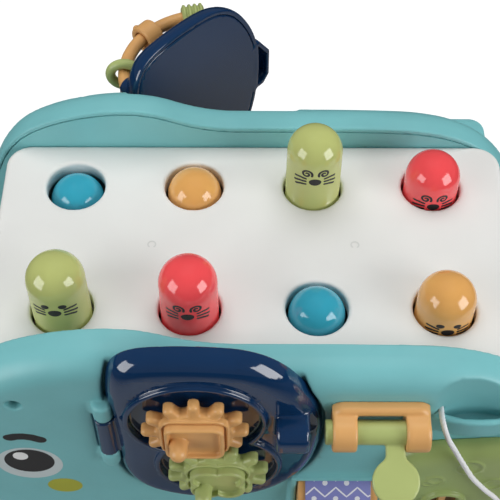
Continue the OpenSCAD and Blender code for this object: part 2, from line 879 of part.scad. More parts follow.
// Hammer holder
holder_drop = 16;
holder_gap = 0.9;
lip_t = 3.4;
lip_half = 23;
holder_x = bracket_x1 + holder_gap + lip_half;
holder_top = deck_height - holder_drop;
lip_r = (holder_reach*holder_reach + lip_half*lip_half)/(2*holder_reach);
lip_y = face + holder_reach - lip_r;
scoop_r = (scoop_width*scoop_width/4 + scoop_depth*scoop_depth)/(2*scoop_depth);
scoop_y = face - scoop_depth + scoop_r;
cord_hole = [holder_x - 17, deck_height - 14];

module holder_lip() {
    intersection() {
        rod_z(holder_x, -lip_y, holder_top - holder_height, holder_top, lip_r);
        block([holder_x - lip_r, -face - holder_reach - 1, 0], [holder_x + lip_r, -face + 1, deck_height]);
    }
}
module holder_cut() {
    floor_z = holder_top - holder_height + lip_t;
    intersection() {
        rod_z(holder_x, -lip_y, floor_z, deck_height + 40, lip_r - lip_t);
        block([holder_x - lip_r, -face - holder_reach - 1, 0], [holder_x + lip_r, -face, deck_height + 40]);
    }
    intersection() {
        rod_z(holder_x, -scoop_y, floor_z, deck_height + 40, scoop_r);
        block([holder_x - scoop_r, -face - 0.5, 0], [holder_x + scoop_r, -half_w, deck_height + 40]);
    }
}

// What the hollow of each side leaves standing
module ear_seat() {
    plate(inset(ear_loop, -ear_gap - side_wall), ear_back - side_wall, face + 1);
    block([-hinge_x - 9, -face - 1, barrel_bottom - 4],
        [-hinge_x + 9, -ear_back + side_wall, barrel_top + 4]);
}
cover_fit = 0.2;
module screw_posts(grow = 0) {
    each_screw() rod_y(0, half_w - 1, face + 1, 0, screw_boss_r + grow);
}
module front_ribs() {
    rod_z(holder_x, -scoop_y, holder_top - holder_height - 1, deck_height + 40, scoop_r + side_wall);
    for (x = [window_x0 - cheek_t, window_x1])
        block([x, -face - 1, roller_z - 8], [x + cheek_t, -half_w - cover_plate - 0.3, roller_z + 8]);
}

// Shell shared by both sides: pocket for the ear, hinge knuckles and screw wells
module side_shell_cuts() {
    plate(inset(ear_loop, -ear_gap), ear_back, face + 20);
    rod_z(-hinge_x, -hinge_y, barrel_bottom, barrel_top, knuckle_r + 0.8);
    screw_wells();
    side_screw_holes();
}
module hinge_bore() {
    rod_z(-hinge_x, -hinge_y, knuckle_bottom + 1, knuckle_top - 1, pin_d/2 + seat);
}
module knuckles() {
    rod_z(-hinge_x, -hinge_y, barrel_top, knuckle_top, knuckle_r);
    rod_z(-hinge_x, -hinge_y, knuckle_bottom, barrel_bottom, knuckle_r);
}

module front_side() {
    color(teal)
        difference() {
            union() {
                side_outer();
                knuckles();
                holder_lip();
                block([window_x0 - frame_w, -face - frame_rise, roller_z - window_half - frame_w],
                    [window_x1 + frame_w, -face + 1, roller_z + window_half + frame_w]);
            }
            difference() {
                side_cavity();
                ear_seat();
                screw_posts();
                front_ribs();
            }
            difference() {
                side_shell_cuts();
                knuckles();
            }
            hinge_bore();
            holder_cut();
            block([window_x0, -face - frame_rise - 1, roller_z - window_half],
                [window_x1, -half_w, roller_z + window_half]);
            rod_x(window_x0 - cheek_t, window_x1 + cheek_t, -roller_y, roller_z, roller_axle_d/2 + seat);
            rod_y(cord_hole.x, half_w, face + 4, cord_hole.y, cord_d/2 + 0.4);
        }
}

shelf_in = 23;
shelf_x = half_l - shelf_in;
shelf_l = 44;
shelf_reach = 13;
module rear_shelf() {
    translate([shelf_x, -face, 0])
        rounded_box(shelf_l, 2*shelf_reach, 8, deck_height - 54, deck_height - 14);
}

module rear_side() {
    color(teal)
        mirror([0, 1, 0])
            difference() {
                union() {
                    side_outer();
                    knuckles();
                    rear_shelf();
                }
                difference() {
                    side_cavity();
                    ear_seat();
                    plate(tab_loop(ear_gap + side_wall), ear_back - side_wall, face + 1);
                    screw_posts();
                }
                difference() {
                    side_shell_cuts();
                    knuckles();
                }
                plate(tab_loop(ear_gap), ear_back, face + 20);
                hinge_bore();
            }
}

module side_cover_plate() {
    plate(inset(side_loop, side_wall + cover_fit), half_w, half_w + cover_plate);
}

module front_side_cover() {
    color(teal)
        difference() {
            side_cover_plate();
            screw_posts(cover_fit);
            block([window_x0 - 1, -face, roller_z - roller_d/2 - 1],
                [window_x1 + 1, 0, roller_z + roller_d/2 + 1]);
        }
}

module rear_side_cover() {
    color(teal)
        mirror([0, 1, 0])
            difference() {
                side_cover_plate();
                screw_posts(cover_fit);
            }
}

module front_side_screws() {
    side_screws();
}
module rear_side_screws() {
    mirror([0, 1, 0]) side_screws();
}

// Bolt and bracket
module bracket_loop(x) {
    rod_x(x, x + loop_width, -bolt_y, bolt_z, loop_r);
    block([x, -bolt_y, bolt_z - loop_r], [x + loop_width, -face, bolt_z + loop_r]);
}
bar_r = 3;
bar_z = bolt_z + loop_r - 0.6;
bar_reach = 3.2;
module bolt_bracket() {
    color(orange)
        difference() {
            union() {
                bracket_loop(bracket_x0);
                bracket_loop(bracket_x1 - loop_width);
                block([bracket_x0, -face - bar_reach, bar_z - bar_r], [bracket_x1, -face, bar_z + bar_r]);
                rod_x(bracket_x0, bracket_x1, -face - bar_reach, bar_z, bar_r);
            }
            rod_x(bracket_x0 - 1, bracket_x1 + 1, -bolt_y, bolt_z, bolt_d/2 + running);
        }
}

paddle_drop = 27;
paddle_t = 4;
stem_w = 8;
paddle_x = bracket_x0 + loop_width + loop_gap - stem_w/2 - 0.4;
bolt_travel = loop_gap - stem_w - 0.8;
module slide_bolt() {
    color(green) {
        rod_x(bolt_x0, bolt_x0 + bolt_length, -bolt_y, bolt_z, bolt_d/2);
        translate([paddle_x, -bolt_y, bolt_z])
            rotate([paddle_drop, 0, 0]) {
                block([-stem_w/2, -paddle_reach, -paddle_t/2], [stem_w/2, 0, paddle_t/2]);
                translate([0, -paddle_reach, -paddle_t/2]) cylinder(r = paddle_r, h = paddle_t);
            }
    }
}

// Green hill with its arched door
hill_x = holder_x;
hill_left = window_x1 + frame_w + 0.8;
hill_drop = 34.5;
hill_top = deck_height - hill_drop;
HILL_GUIDE = [
    [hill_left, hill_top - 96], [hill_x, hill_top - 102], [hill_x + 38, hill_top - 94],
    [hill_x + 39, hill_top - 48], [hill_x + 28, hill_top], [hill_x - 4, hill_top - 2.5],
    [hill_left + 8, hill_top - 5.5], [hill_left - 3, hill_top - 19.5], [hill_left, hill_top - 40.5]];
hill_loop = smooth_loop(HILL_GUIDE, 4);
hill_slope = 13;
door_x = hill_x - 7.2;
door_r = 8;
door_drop = 44.5;
door_top = hill_top - door_drop;
door_height = 26;
door_rim = 2;
door_front = face + hill_bulge;
door_floor = face + 2;

// Arch: a half circle on a rectangle
module arch(r, near, far) {
    round_top = [for (a = [0 : 15 : 180]) [door_x + r*cos(a), door_top - door_r + r*sin(a)]];
    bottom = door_top - door_height;
    plate(concat(round_top, [[door_x - r, bottom], [door_x + r, bottom]]), near, far);
}
module hill_cover() {
    color(green)
        difference() {
            union() {
                band(hill_loop, [[0, face], [0.6, face + hill_bulge*0.45], [3, face + hill_bulge*0.8],
                    [7, face + hill_bulge*0.95], [hill_slope, face + hill_bulge], [hill_slope, face]]);
                plate(inset(hill_loop, hill_slope), face, face + hill_bulge);
                arch(door_r + door_rim, face + 1, door_front + 1.2);
            }
            arch(door_r, door_floor, door_front + 5);
        }
}
module hill_door() {
    color(brown) arch(door_r - 0.2, door_floor, door_floor + 1.4);
}
module hill_door_bar() {
    color(orange)
        block([door_x - 1.6, -door_floor - 4.2, door_top - door_height + 0.5],
            [door_x + 1.6, -door_floor - 1.4, door_top - 0.6]);
}

// Hammer lying on the table
hammer_at = [cord_hole.x - 87, -face - 50];
handle_tilt = asin((hammer_head_d - handle_thickness)/2/handle_length);
module hammer_place() {
    translate([hammer_at.x, hammer_at.y, hammer_head_d/2])
        rotate([0, handle_tilt, 0]) children();
}
socket_r = handle_thickness/2 - 0.5;
socket_depth = 12;
module hammer_head() {
    color(orange)
        hammer_place()
            difference() {
                translate([0, hammer_head_length/2, 0])
                    rotate([90, 0, 0])
                        cylinder(r = hammer_head_d/2, h = hammer_head_length);
                rod_x(hammer_head_d/2 - socket_depth, hammer_head_d, 0, 0, socket_r);
            }
}
module hammer_handle() {
    edge_y = (handle_width - handle_thickness)/2;
    color(teal)
        hammer_place()
            difference() {
                union() {
                    for (y = [-edge_y, edge_y])
                        rod_x(hammer_head_d/2 + eps, handle_length, y, 0, handle_thickness/2);
                    block([hammer_head_d/2 + eps, -edge_y, -handle_thickness/2],
                        [handle_length, edge_y, handle_thickness/2]);
                    rod_x(hammer_head_d/2 - socket_depth + 0.2, hammer_head_d/2 + 1, 0, 0, socket_r - 0.05);
                }
                rod_x(handle_length - 8, handle_length + 1, 0, 0, cord_d/2 + 0.3);
            }
}

// Cord: from its hole over the holder's lip, down to the table and into the handle;
// points along X from the hole, out from the side's face, and up from the table
CORD_POINTS = [
    [0, -12, 141], [0, -4, 141], [0, 1.5, 141.2], [0.4, 5, 140.6], [1.6, 7.6, 137.5], [3.6, 9, 132.5],
    [7, 10, 125.5], [12.5, 10.5, 113], [19, 11, 99], [26.5, 11.3, 87], [34.5, 12, 76], [40, 14, 62],
    [43.5, 17, 46], [45.5, 21, 30], [46.5, 26, 16], [46.5, 32, 6.5], [44.5, 39, 2], [40.5, 45, 1.5],
    [35.5, 48.5, 2], [30.5, 50, 2.8], [24.8, 50, 3.3]];
cord_lift = cord_hole.y/CORD_POINTS[0].z;
CORD_ROUTE = [for (p = CORD_POINTS) [cord_hole.x + p.x, -face - p.y, cord_lift*p.z]];
CORD_SIDES = 8;
CORD_STEPS = 3;
function route_slope(i) =
    (CORD_ROUTE[min(i + 1, len(CORD_ROUTE) - 1)] - CORD_ROUTE[max(i - 1, 0)])/2;
function between(i, t) =
    let (u = 1 - t)
        u*u*(1 + 2*t)*CORD_ROUTE[i] + t*t*(3 - 2*t)*CORD_ROUTE[i + 1]
        + t*u*u*route_slope(i) - t*t*u*route_slope(i + 1);
cord_line = concat(
    [for (i = [0 : len(CORD_ROUTE) - 2]) for (k = [0 : CORD_STEPS - 1]) between(i, k/CORD_STEPS)],
    [CORD_ROUTE[len(CORD_ROUTE) - 1]]);
cord_last = len(cord_line) - 1;
function cord_ring(i) =
    let (way = cord_line[min(i + 1, cord_last)] - cord_line[max(i - 1, 0)],
         d = way/norm(way), u = cross(d, [1, 0.3, 0.2])/norm(cross(d, [1, 0.3, 0.2])), v = cross(d, u))
        [for (k = [0 : CORD_SIDES - 1])
            cord_line[i] + cord_d/2*(u*cos(360*k/CORD_SIDES) + v*sin(360*k/CORD_SIDES))];
module cord() {
    n = CORD_SIDES;
    points = [for (i = [0 : cord_last]) for (p = cord_ring(i)) p];
    sides = [for (k = [0 : cord_last - 1]) for (i = [0 : n - 1])
        let (j = (i + 1) % n)
            for (f = [[k*n + i, (k + 1)*n + i, (k + 1)*n + j], [k*n + i, (k + 1)*n + j, k*n + j]]) f];
    near_end = [for (i = [0 : n - 1]) i];
    far_end = [for (i = [n - 1 : -1 : 0]) cord_last*n + i];
    color(cord_white) polyhedron(points, concat([near_end], sides, [far_end]));
}

deck_cover();
base_tray();
base_screws();
lever_shaft();
front_side();
front_side_cover();
front_side_screws();
rear_side();
rear_side_cover();
rear_side_screws();
front_hinge_pin();
rear_hinge_pin();
front_ear_shell();
front_ear_cover();
gear_axle(orange_at);  // orange_gear_axle
gear_axle(green_at);  // green_gear_axle
orange_gear();
green_gear();
rear_ear_shell();
rear_ear_cover();
bead_rod();
green_ring();
orange_ring();
ribbed_ring();
bolt_bracket();
slide_bolt();
roller_core();
roller_sleeve();
roller_axle();
hill_cover();
hill_door();
hill_door_bar();
cord();
hammer_head();
hammer_handle();
for (i = [0 : 7]) mole(i % 4, i >= 4);
for (c = columns) lever(c);
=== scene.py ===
"""Elephant hammer toy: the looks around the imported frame.

Moulded pieces are written as distance fields in millimetres and skinned, so that every edge is
a soft moulded one. Fields use x, the depth s away from the box's middle plane, and z.
"""
import math

import bpy
import numpy as np
import openvdb as vdb
from mathutils import Matrix, Vector


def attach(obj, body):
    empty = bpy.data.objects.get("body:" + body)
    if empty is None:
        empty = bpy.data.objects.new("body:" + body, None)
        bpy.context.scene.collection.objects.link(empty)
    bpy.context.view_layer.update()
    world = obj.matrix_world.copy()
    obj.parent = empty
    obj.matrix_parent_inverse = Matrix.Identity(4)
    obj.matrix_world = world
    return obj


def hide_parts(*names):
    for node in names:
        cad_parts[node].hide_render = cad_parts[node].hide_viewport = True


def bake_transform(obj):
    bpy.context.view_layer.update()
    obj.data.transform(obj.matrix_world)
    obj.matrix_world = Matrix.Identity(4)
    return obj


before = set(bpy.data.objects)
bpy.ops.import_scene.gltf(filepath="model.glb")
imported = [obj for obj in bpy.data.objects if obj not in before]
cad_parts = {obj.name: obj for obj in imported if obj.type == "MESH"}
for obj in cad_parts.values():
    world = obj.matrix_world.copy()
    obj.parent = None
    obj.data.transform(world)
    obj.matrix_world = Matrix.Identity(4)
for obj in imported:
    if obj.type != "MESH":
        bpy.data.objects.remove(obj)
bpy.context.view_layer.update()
MM = 0.001

# Sizes, in millimetres
DECK = 155.0
HALF_L, HALF_W = 123.0, 62.0
FACE = 82.0
HOLE_PITCH, ROW_HALF, HOLE_R = 58.0, 35.7, 14.3
FRONT_RISE = (35.7, 33.0, 7.7, 20.8)
REAR_RISE = (2.5, 7.2, 39.6, 21.2)
MOLE_R, MOLE_LENGTH, STEM_R, STEM_DROP = 13.2, 56.0, 6.5, 16.0
FOOT_R, FOOT_H = 15.7, 2.4
HINGE_X, HINGE_S, KNUCKLE_R = -66.0, 82.8, 4.6
KNUCKLES = ((140.0, 152.0), (98.0, 109.0))
BARREL = (109.0, 140.0)
POCKET, EAR_BACK, EAR_FACE, EAR_FLOOR, EAR_ROUND = 76.4, 77.0, 88.0, 86.0, 9.5
REAR_EAR_OPEN = 48.0
ORANGE_AT, GREEN_AT = (-25.3, 145.0), (-16.138, 104.011)
GEAR_SEAT, GEAR_BACK, GEAR_FRONT, HUB_FRONT = 87.0, 89.6, 95.2, 100.2
BOLT_S, BOLT_Z, BOLT_R = 91.0, 140.6, 5.6
ROLLER_S, ROLLER_Z, ROLLER_R = 77.6, 61.0, 15.0
ROLLER_X, SLEEVE_X = (22.0, 61.0), (25.6, 57.4)
WINDOW_X, WINDOW_HALF, FRAME_W = (21.4, 61.6), 15.14, 3.4
HOLDER_X = 100.0
ROD_MID, ROD_Z, ROD_CENTRE, ROD_CIRCLE, ROD_R = -23.5, 166.5, 64.94, 42.06, 3.5
DOOR_X, DOOR_R, DOOR_TOP, DOOR_HEIGHT = 92.8, 8.0, 76.0, 26.0
HAMMER_AT, HEAD_R, HEAD_HALF = (-4.0, -132.0), 16.0, 27.0
HANDLE_LENGTH, HANDLE_T = 112.0, 6.0
CORD_D = 2.6

SIDE_GUIDE = ((-142, 113), (-162, 96), (-164, 48), (-164, 0), (-120, 0), (-118, 36), (-108, 36),
              (-106, 0), (-60, 0), (-54, 36), (0, 36), (54, 36), (58, 0), (104, 0), (150, 0),
              (150, 46), (146, 75), (136, 129), (118, 153), (92, 165.6), (56, 167.6), (8, 167.6),
              (-24, 167.6), (-56, 182), (-98, 175), (-126, 157))
EAR_GUIDE = ((-62.2, 125), (-63.1, 79), (-36.2, 59.5), (0.2, 59.5), (26.2, 85), (32.9, 123),
             (27.6, 154), (6, 186.5), (-30, 190.5), (-57.8, 187.5), (-65, 164))
HILL_GUIDE = ((65.8, 24.5), (100, 18.5), (138, 26.5), (139, 72.5), (128, 120.5), (96, 118),
              (73.8, 115), (62.8, 101), (65.8, 80))
TAB = ((18, 105), (36, 105), (41, 110), (41, 128), (32, 141), (18, 141))
CORD_ROUTE = ((83, -70, 141), (83, -78, 141), (83, -83.5, 141.2), (83.4, -87, 140.6),
              (84.6, -89.6, 137.5), (86.6, -91, 132.5), (90, -92, 125.5), (95.5, -92.5, 113),
              (102, -93, 99), (109.5, -93.3, 87), (117.5, -94, 76), (123, -96, 62), (126.5, -99, 46),
              (128.5, -103, 30), (129.5, -108, 16), (129.5, -114, 6.5), (127.5, -121, 2),
              (123.5, -127, 1.5), (118.5, -130.5, 2), (113.5, -132, 2.8), (107.8, -132, 3.3))

# Camera, light and floor, with the lamps' and the floor's sizes in metres
CAMERA_AT = (-2.6, -326.1, 595.6)
CAMERA_PAN, CAMERA_TILT, CAMERA_ROLL = -0.18, 53.76, -0.3
LENS, SENSOR, CLIP_START = 83.52, 36.0, 0.01
LIGHT_AIM = (0.0, 0.0, 0.1)
LIGHT_ELEVATION, LIGHT_TURN, LIGHT_DISTANCE = 19.0, 60.0, 1.1
LIGHT_SIZE = 0.66
LIGHT_WATTS = {"left": 5.8, "right": 7.2}
TOP_SIZE, TOP_HEIGHT, TOP_TILT, TOP_WATTS = 1.3, 1.5, 18.0, 17.0
HORIZON_LIGHT, OVERHEAD_LIGHT = 0.12, 0.1
WHITE, FLOOR_WHITE = (1.0, 1.0, 1.0, 1.0), (0.9, 0.9, 0.9, 1.0)
FLOOR_HALF, FLOOR_ROUGHNESS, FLOOR_SPECULAR = 4.0, 0.9, 0.1
FLOOR_GLOW, FLOOR_GLOW_SHARE = 1.2, 0.7
# The light that the floor throws back fades with the distance, as at the edge of a table
TABLE_FADE, TABLE_TONE = (0.2, 0.45), (0.36, 0.03)


def add_object(name, data):
    thing = bpy.data.objects.new(name, data)
    bpy.context.scene.collection.objects.link(thing)
    return thing


def make_camera():
    data = bpy.data.cameras.new("camera")
    data.lens = LENS
    data.sensor_width = SENSOR
    data.clip_start = CLIP_START
    camera = add_object("camera", data)
    pan, tilt, roll = (math.radians(a) for a in (CAMERA_PAN, CAMERA_TILT, CAMERA_ROLL))
    turn = (Matrix.Rotation(pan, 4, "Z") @ Matrix.Rotation(math.pi / 2 - tilt, 4, "X")
            @ Matrix.Rotation(-roll, 4, "Z"))
    camera.matrix_world = Matrix.Translation(Vector(CAMERA_AT) * MM) @ turn
    bpy.context.scene.camera = camera


def make_softbox(name, way, distance, size, watts):
    """A square lamp that faces the object from that way off."""
    data = bpy.data.lights.new(name, "AREA")
    data.shape = "SQUARE"
    data.size = size
    data.energy = watts
    lamp = add_object(name, data)
    lamp.location = Vector(LIGHT_AIM) + distance * way
    lamp.rotation_euler = (-way).to_track_quat("-Z", "Y").to_euler()
    return lamp


def make_lights():
    up = math.radians(LIGHT_ELEVATION)
    for name, sign in (("left", -1), ("right", 1)):
        turn = math.radians(LIGHT_TURN) * sign
        way = Vector((math.sin(turn) * math.cos(up), -math.cos(turn) * math.cos(up), math.sin(up)))
        make_softbox(f"softbox_{name}", way, LIGHT_DISTANCE, LIGHT_SIZE, LIGHT_WATTS[name])
    tilt = math.radians(TOP_TILT)
    way = Vector((0, math.sin(tilt), math.cos(tilt)))
    top = make_softbox("softbox_top", way, TOP_HEIGHT, TOP_SIZE, TOP_WATTS)
    top.visible_glossy = False


def seen_directly(tree):
    """1 for rays that show the background: those from the camera and those through a surface."""
    path = tree.nodes.new("ShaderNodeLightPath")
    either = tree.nodes.new("ShaderNodeMath")
    either.operation = "MAXIMUM"
    tree.links.new(path.outputs["Is Camera Ray"], either.inputs[0])
    tree.links.new(path.outputs["Is Transmission Ray"], either.inputs[1])
    return either.outputs[0]


def set_inputs(node, values):
    for socket, value in values.items():
        node.inputs[socket].default_value = value


def map_range(tree, value, start, end):
    """A value between the start's two numbers, moved to between the end's."""
    node = tree.nodes.new("ShaderNodeMapRange")
    set_inputs(node, {"From Min": start[0], "From Max": start[1], "To Min": end[0], "To Max": end[1]})
    tree.links.new(value, node.inputs["Value"])
    return node.outputs["Result"]


def mix_shaders(tree, factor, first, second, output):
    """The first shader, and by that factor the second one instead."""
    mix = tree.nodes.new("ShaderNodeMixShader")
    for source, socket in ((factor, 0), (first.outputs[0], 1), (second.outputs[0], 2)):
        tree.links.new(source, mix.inputs[socket])
    tree.links.new(mix.outputs[0], tree.nodes[output].inputs["Surface"])


def make_world():
    world = bpy.data.worlds.new("studio")
    bpy.context.scene.world = world
    world.use_nodes = True
    tree = world.node_tree
    soft = tree.nodes["Background"]
    set_inputs(soft, {"Color": WHITE})
    height = tree.nodes.new("ShaderNodeSeparateXYZ")
    tree.links.new(tree.nodes.new("ShaderNodeTexCoord").outputs["Generated"], height.inputs[0])
    strength = map_range(tree, height.outputs["Z"], (0.0, 1.0), (HORIZON_LIGHT, OVERHEAD_LIGHT))
    tree.links.new(strength, soft.inputs["Strength"])
    white = tree.nodes.new("ShaderNodeBackground")
    set_inputs(white, {"Color": WHITE})
    mix_shaders(tree, seen_directly(tree), soft, white, "World Output")


def make_floor():
    mesh = bpy.data.meshes.new("floor")
    corners = [(a * FLOOR_HALF, b * FLOOR_HALF, 0) for a, b in ((-1, -1), (1, -1), (1, 1), (-1, 1))]
    mesh.from_pydata(corners, [], [(0, 1, 2, 3)])
    floor = add_object("floor", mesh)
    paint = bpy.data.materials.new("floor_white")
    paint.use_nodes = True
    tree = paint.node_tree
    link = tree.links.new
    seen = seen_directly(tree)
    away = tree.nodes.new("ShaderNodeVectorMath")
    away.operation = "LENGTH"
    link(tree.nodes.new("ShaderNodeTexCoord").outputs["Object"], away.inputs[0])
    tone = tree.nodes.new("ShaderNodeMix")
    tone.data_type = "RGBA"
    link(seen, tone.inputs["Factor"])
    link(map_range(tree, away.outputs["Value"], TABLE_FADE, TABLE_TONE), tone.inputs["A"])
    set_inputs(tone, {"B": FLOOR_WHITE})
    matt = tree.nodes["Principled BSDF"]
    link(tone.outputs["Result"], matt.inputs["Base Color"])
    set_inputs(matt, {"Roughness": FLOOR_ROUGHNESS, "Specular IOR Level": FLOOR_SPECULAR})
    glow = tree.nodes.new("ShaderNodeEmission")
    set_inputs(glow, {"Strength": FLOOR_GLOW})
    share = map_range(tree, seen, (0.0, 1.0), (0.0, FLOOR_GLOW_SHARE))
    mix_shaders(tree, share, matt, glow, "Material Output")
    mesh.materials.append(paint)


# Materials
DRIFT_SCALE, DRIFT_DETAIL, FINE_DETAIL, NOISE_REACH = 38.0, 3.0, 4.0, (0.3, 0.7)
GLOSS_SPREAD, RELIEF_DEPTH = 0.12, 0.0004
GLOSSY = {"roughness": 0.09, "grain": 500, "bump": 0.006, "specular": 0.7}
INK = {"grain": 2500, "bump": 0.02}


def linear(rgb):
    """A colour as seen on the screen, 0 to 255, as linear light."""
    return [v / 12.92 if v <= 0.04045 else ((v + 0.055) / 1.055) ** 2.4 for v in (c / 255 for c in rgb)]


def noise(tree, where, scale, detail):
    node = tree.nodes.new("ShaderNodeTexNoise")
    set_inputs(node, {"Scale": scale, "Detail": detail})
    tree.links.new(where, node.inputs["Vector"])
    return node.outputs["Fac"]


def plastic(name, rgb, roughness, grain=1200.0, bump=0.04, shift=0.04, metal=0.0, specular=0.5):
    """Moulded plastic: slow colour drift from the flow of the melt, a fine texture and uneven gloss."""
    paint = bpy.data.materials.new(name)
    paint.use_nodes = True
    tree = paint.node_tree
    link = tree.links.new
    shader = tree.nodes["Principled BSDF"]
    set_inputs(shader, {"Metallic": metal, "Specular IOR Level": specular})
    where = tree.nodes.new("ShaderNodeTexCoord").outputs["Object"]
    base = linear(rgb)
    mix = tree.nodes.new("ShaderNodeMix")
    mix.data_type = "RGBA"
    set_inputs(mix, {"A": (*(c * (1 - shift) for c in base), 1.0),
                     "B": (*(min(1.0, c * (1 + shift)) for c in base), 1.0)})
    drift = noise(tree, where, DRIFT_SCALE, DRIFT_DETAIL)
    link(map_range(tree, drift, NOISE_REACH, (0.0, 1.0)), mix.inputs["Factor"])
    link(mix.outputs["Result"], shader.inputs["Base Color"])
    fine = noise(tree, where, grain, FINE_DETAIL)
    gloss = (roughness * (1 - GLOSS_SPREAD), roughness * (1 + GLOSS_SPREAD))
    link(map_range(tree, fine, NOISE_REACH, gloss), shader.inputs["Roughness"])
    relief = tree.nodes.new("ShaderNodeBump")
    set_inputs(relief, {"Strength": bump, "Distance": RELIEF_DEPTH})
    link(fine, relief.inputs["Height"])
    link(relief.outputs["Normal"], shader.inputs["Normal"])
    return paint


def make_materials():
    return {
        "teal": plastic("teal_plastic", (120, 187, 191), 0.42, bump=0.06),
        "white": plastic("white_plastic", (228, 229, 226), 0.4, bump=0.05, shift=0.015),
        "navy": plastic("navy_plastic", (13, 48, 86), 0.08, grain=500, bump=0.006, specular=0.9),
        "orange": plastic("orange_plastic", (220, 167, 105), 0.34),
        "green": plastic("green_plastic", (174, 186, 118), 0.32),
        "hill": plastic("hill_plastic", (154, 172, 106), 0.32),
        "mole_green": plastic("mole_green", (184, 191, 118), **GLOSSY),
        "mole_red": plastic("mole_red", (240, 80, 84), **GLOSSY),
        "mole_blue": plastic("mole_blue", (54, 162, 187), **GLOSSY),
        "mole_tan": plastic("mole_tan", (225, 167, 95), **GLOSSY),
        "purple": plastic("purple_print", (130, 134, 196), 0.5, grain=2500, bump=0.03),
        "brown": plastic("brown_plastic", (128, 78, 48), 0.45),
        # painted shade: the ejector marks' slightly darker white stands in for the shading at the edges of
        # their shallow relief
        "mark": plastic("mould_mark_painted_shade", (212, 214, 211), 0.4, bump=0.05, shift=0.015),
        "ink": plastic("black_ink", (30, 28, 30), 0.5, shift=0.1, **INK),
        "eye": plastic("eye_white_ink", (196, 208, 210), 0.4, **INK),
        "glint": plastic("glint_white_ink", (238, 240, 240), 0.4, shift=0.01, **INK),
        "cheek": plastic("cheek_ink", (170, 172, 46), 0.4, **INK),
        "print": plastic("white_ink", (232, 232, 238), 0.45, shift=0.01, **INK),
        "steel": plastic("zinc_steel", (186, 188, 192), 0.3, grain=3000, bump=0.03, metal=1.0),
        "cord": plastic("cord_white", (236, 236, 238), 0.75, grain=4500, bump=0.35, shift=0.03,
                        specular=0.2),
    }


# Fields: signed distances, negative inside, and how they are joined
MARGIN, PLAIN_STEP, BEYOND = 3, 12, 100


class Grid:
    """Sampling points over a box, from low to high; x, s and z broadcast against each other.

    A plain stretch of z, where all walls are straight, has few points.
    """

    def __init__(self, low, high, voxel, plain=None):
        self.voxel = voxel
        self.low = np.array(low, float) - MARGIN * voxel
        self.plain = plain
        self.left_out = (plain[1] - plain[0]) * (1 - 1 / PLAIN_STEP) if plain else 0.0
        size = np.array(high, float) - self.low - (0, 0, self.left_out)
        count = np.ceil(size / voxel).astype(int) + MARGIN + 1
        x, s, z = (np.float32(self.low[i]) + np.float32(voxel) * np.arange(count[i], dtype=np.float32)
                   for i in range(3))
        self.x, self.s, self.z = x[:, None, None], s[None, :, None], self.height(z)[None, None, :]
        self.shape = tuple(count)

    def height(self, z):
        """The true height of a place in the grid."""
        if not self.plain:
            return z
        low, high = self.plain
        top = high - self.left_out
        return np.interp(z, (low - BEYOND, low, top, top + BEYOND),
                         (low - BEYOND, low, high, high + BEYOND)).astype(np.float32)


def smooth_loop(guide, steps=12):
    """The source's loop: one parabola for each corner, between the middles of the guide's edges."""
    guide = np.array(guide, float)
    before = (np.roll(guide, 1, 0) + guide) / 2
    after = (guide + np.roll(guide, -1, 0)) / 2
    t = (np.arange(steps) / steps)[None, :, None]
    curve = ((1 - t) ** 2 * before[:, None] + 2 * t * (1 - t) * guide[:, None] + t * t * after[:, None])
    return curve.reshape(-1, 2)


def loop_distance(loop, x, z):
    """Signed distance to a closed loop, negative inside."""
    x, z = np.broadcast_arrays(np.asarray(x, np.float32), np.asarray(z, np.float32))
    nearest = np.full(x.shape, np.inf, np.float32)
    inside = np.zeros(x.shape, bool)
    for (ax, az), (bx, bz) in zip(loop, np.roll(loop, -1, 0)):
        ex, ez = bx - ax, bz - az
        px, pz = x - np.float32(ax), z - np.float32(az)
        along = np.clip((px * ex + pz * ez) / (ex * ex + ez * ez), 0, 1).astype(np.float32)
        nearest = np.minimum(nearest, (px - along * ex) ** 2 + (pz - along * ez) ** 2)
        if az != bz:
            inside ^= ((az > z) != (bz > z)) & (px < ex * pz / ez)
    distance = np.sqrt(nearest)
    return np.where(inside, -distance, distance).astype(np.float32)


def rounded(*walls, r):
    """Inside all the walls' distances, with the edges between them rounded."""
    walls = [w + r for w in walls]
    outside = sum(np.maximum(w, 0) ** 2 for w in walls)
    inside = walls[0]
    for w in walls[1:]:
        inside = np.maximum(inside, w)
    return np.minimum(inside, 0) + np.sqrt(outside) - r


def span(v, low, high):
    return np.abs(v - (low + high) / 2) - (high - low) / 2


def join(a, b, *, r):
    """Union with a fillet."""
    h = np.clip(0.5 + 0.5 * (b - a) / r, 0, 1)
    return b + (a - b) * h - r * h * (1 - h)


def cut(a, b, *, r):
    """a without b, with a soft edge."""
    return -join(-a, b, r=r)


def plate(outline, s, near, far, r_far, r_near=1.0):
    """A flat piece between two depths, with its far and near edges rounded."""
    return np.maximum(rounded(outline, s - far, r=r_far), rounded(outline, near - s, r=r_near))


def rod(u, v, w, radius, low, high, r=0.6):
    return rounded(np.hypot(u, v) - radius, span(w, low, high), r=r)


def peg(across, along, root_r, tip_r, root, tip):
    """Tapered peg with a round end."""
    share = np.clip((along - root) / (tip - root), 0, 1)
    radius = root_r + (tip_r - root_r) * share
    end = np.hypot(across, np.maximum(along - (tip - tip_r), 0)) - radius
    return np.maximum(end, root - along)


# Meshes, and the places of their fields as a turn and a move
SLOPE_STEP = 0.8
FRONT = np.diag([1.0, -1.0, 1.0]), np.zeros(3)
REAR = np.eye(3), np.zeros(3)
EAR_TURN = np.array(Matrix.Rotation(math.radians(REAR_EAR_OPEN), 3, "Z"))
EAR_PIVOT = np.array([HINGE_X, HINGE_S, 0])
REAR_EAR = EAR_TURN, EAR_PIVOT - EAR_TURN @ EAR_PIVOT


def columns(*parts):
    return np.stack(parts, -1)


def unit(v):
    return v / np.linalg.norm(v, axis=-1, keepdims=True)


def full_turn(steps):
    return 2 * math.pi * np.arange(steps) / steps


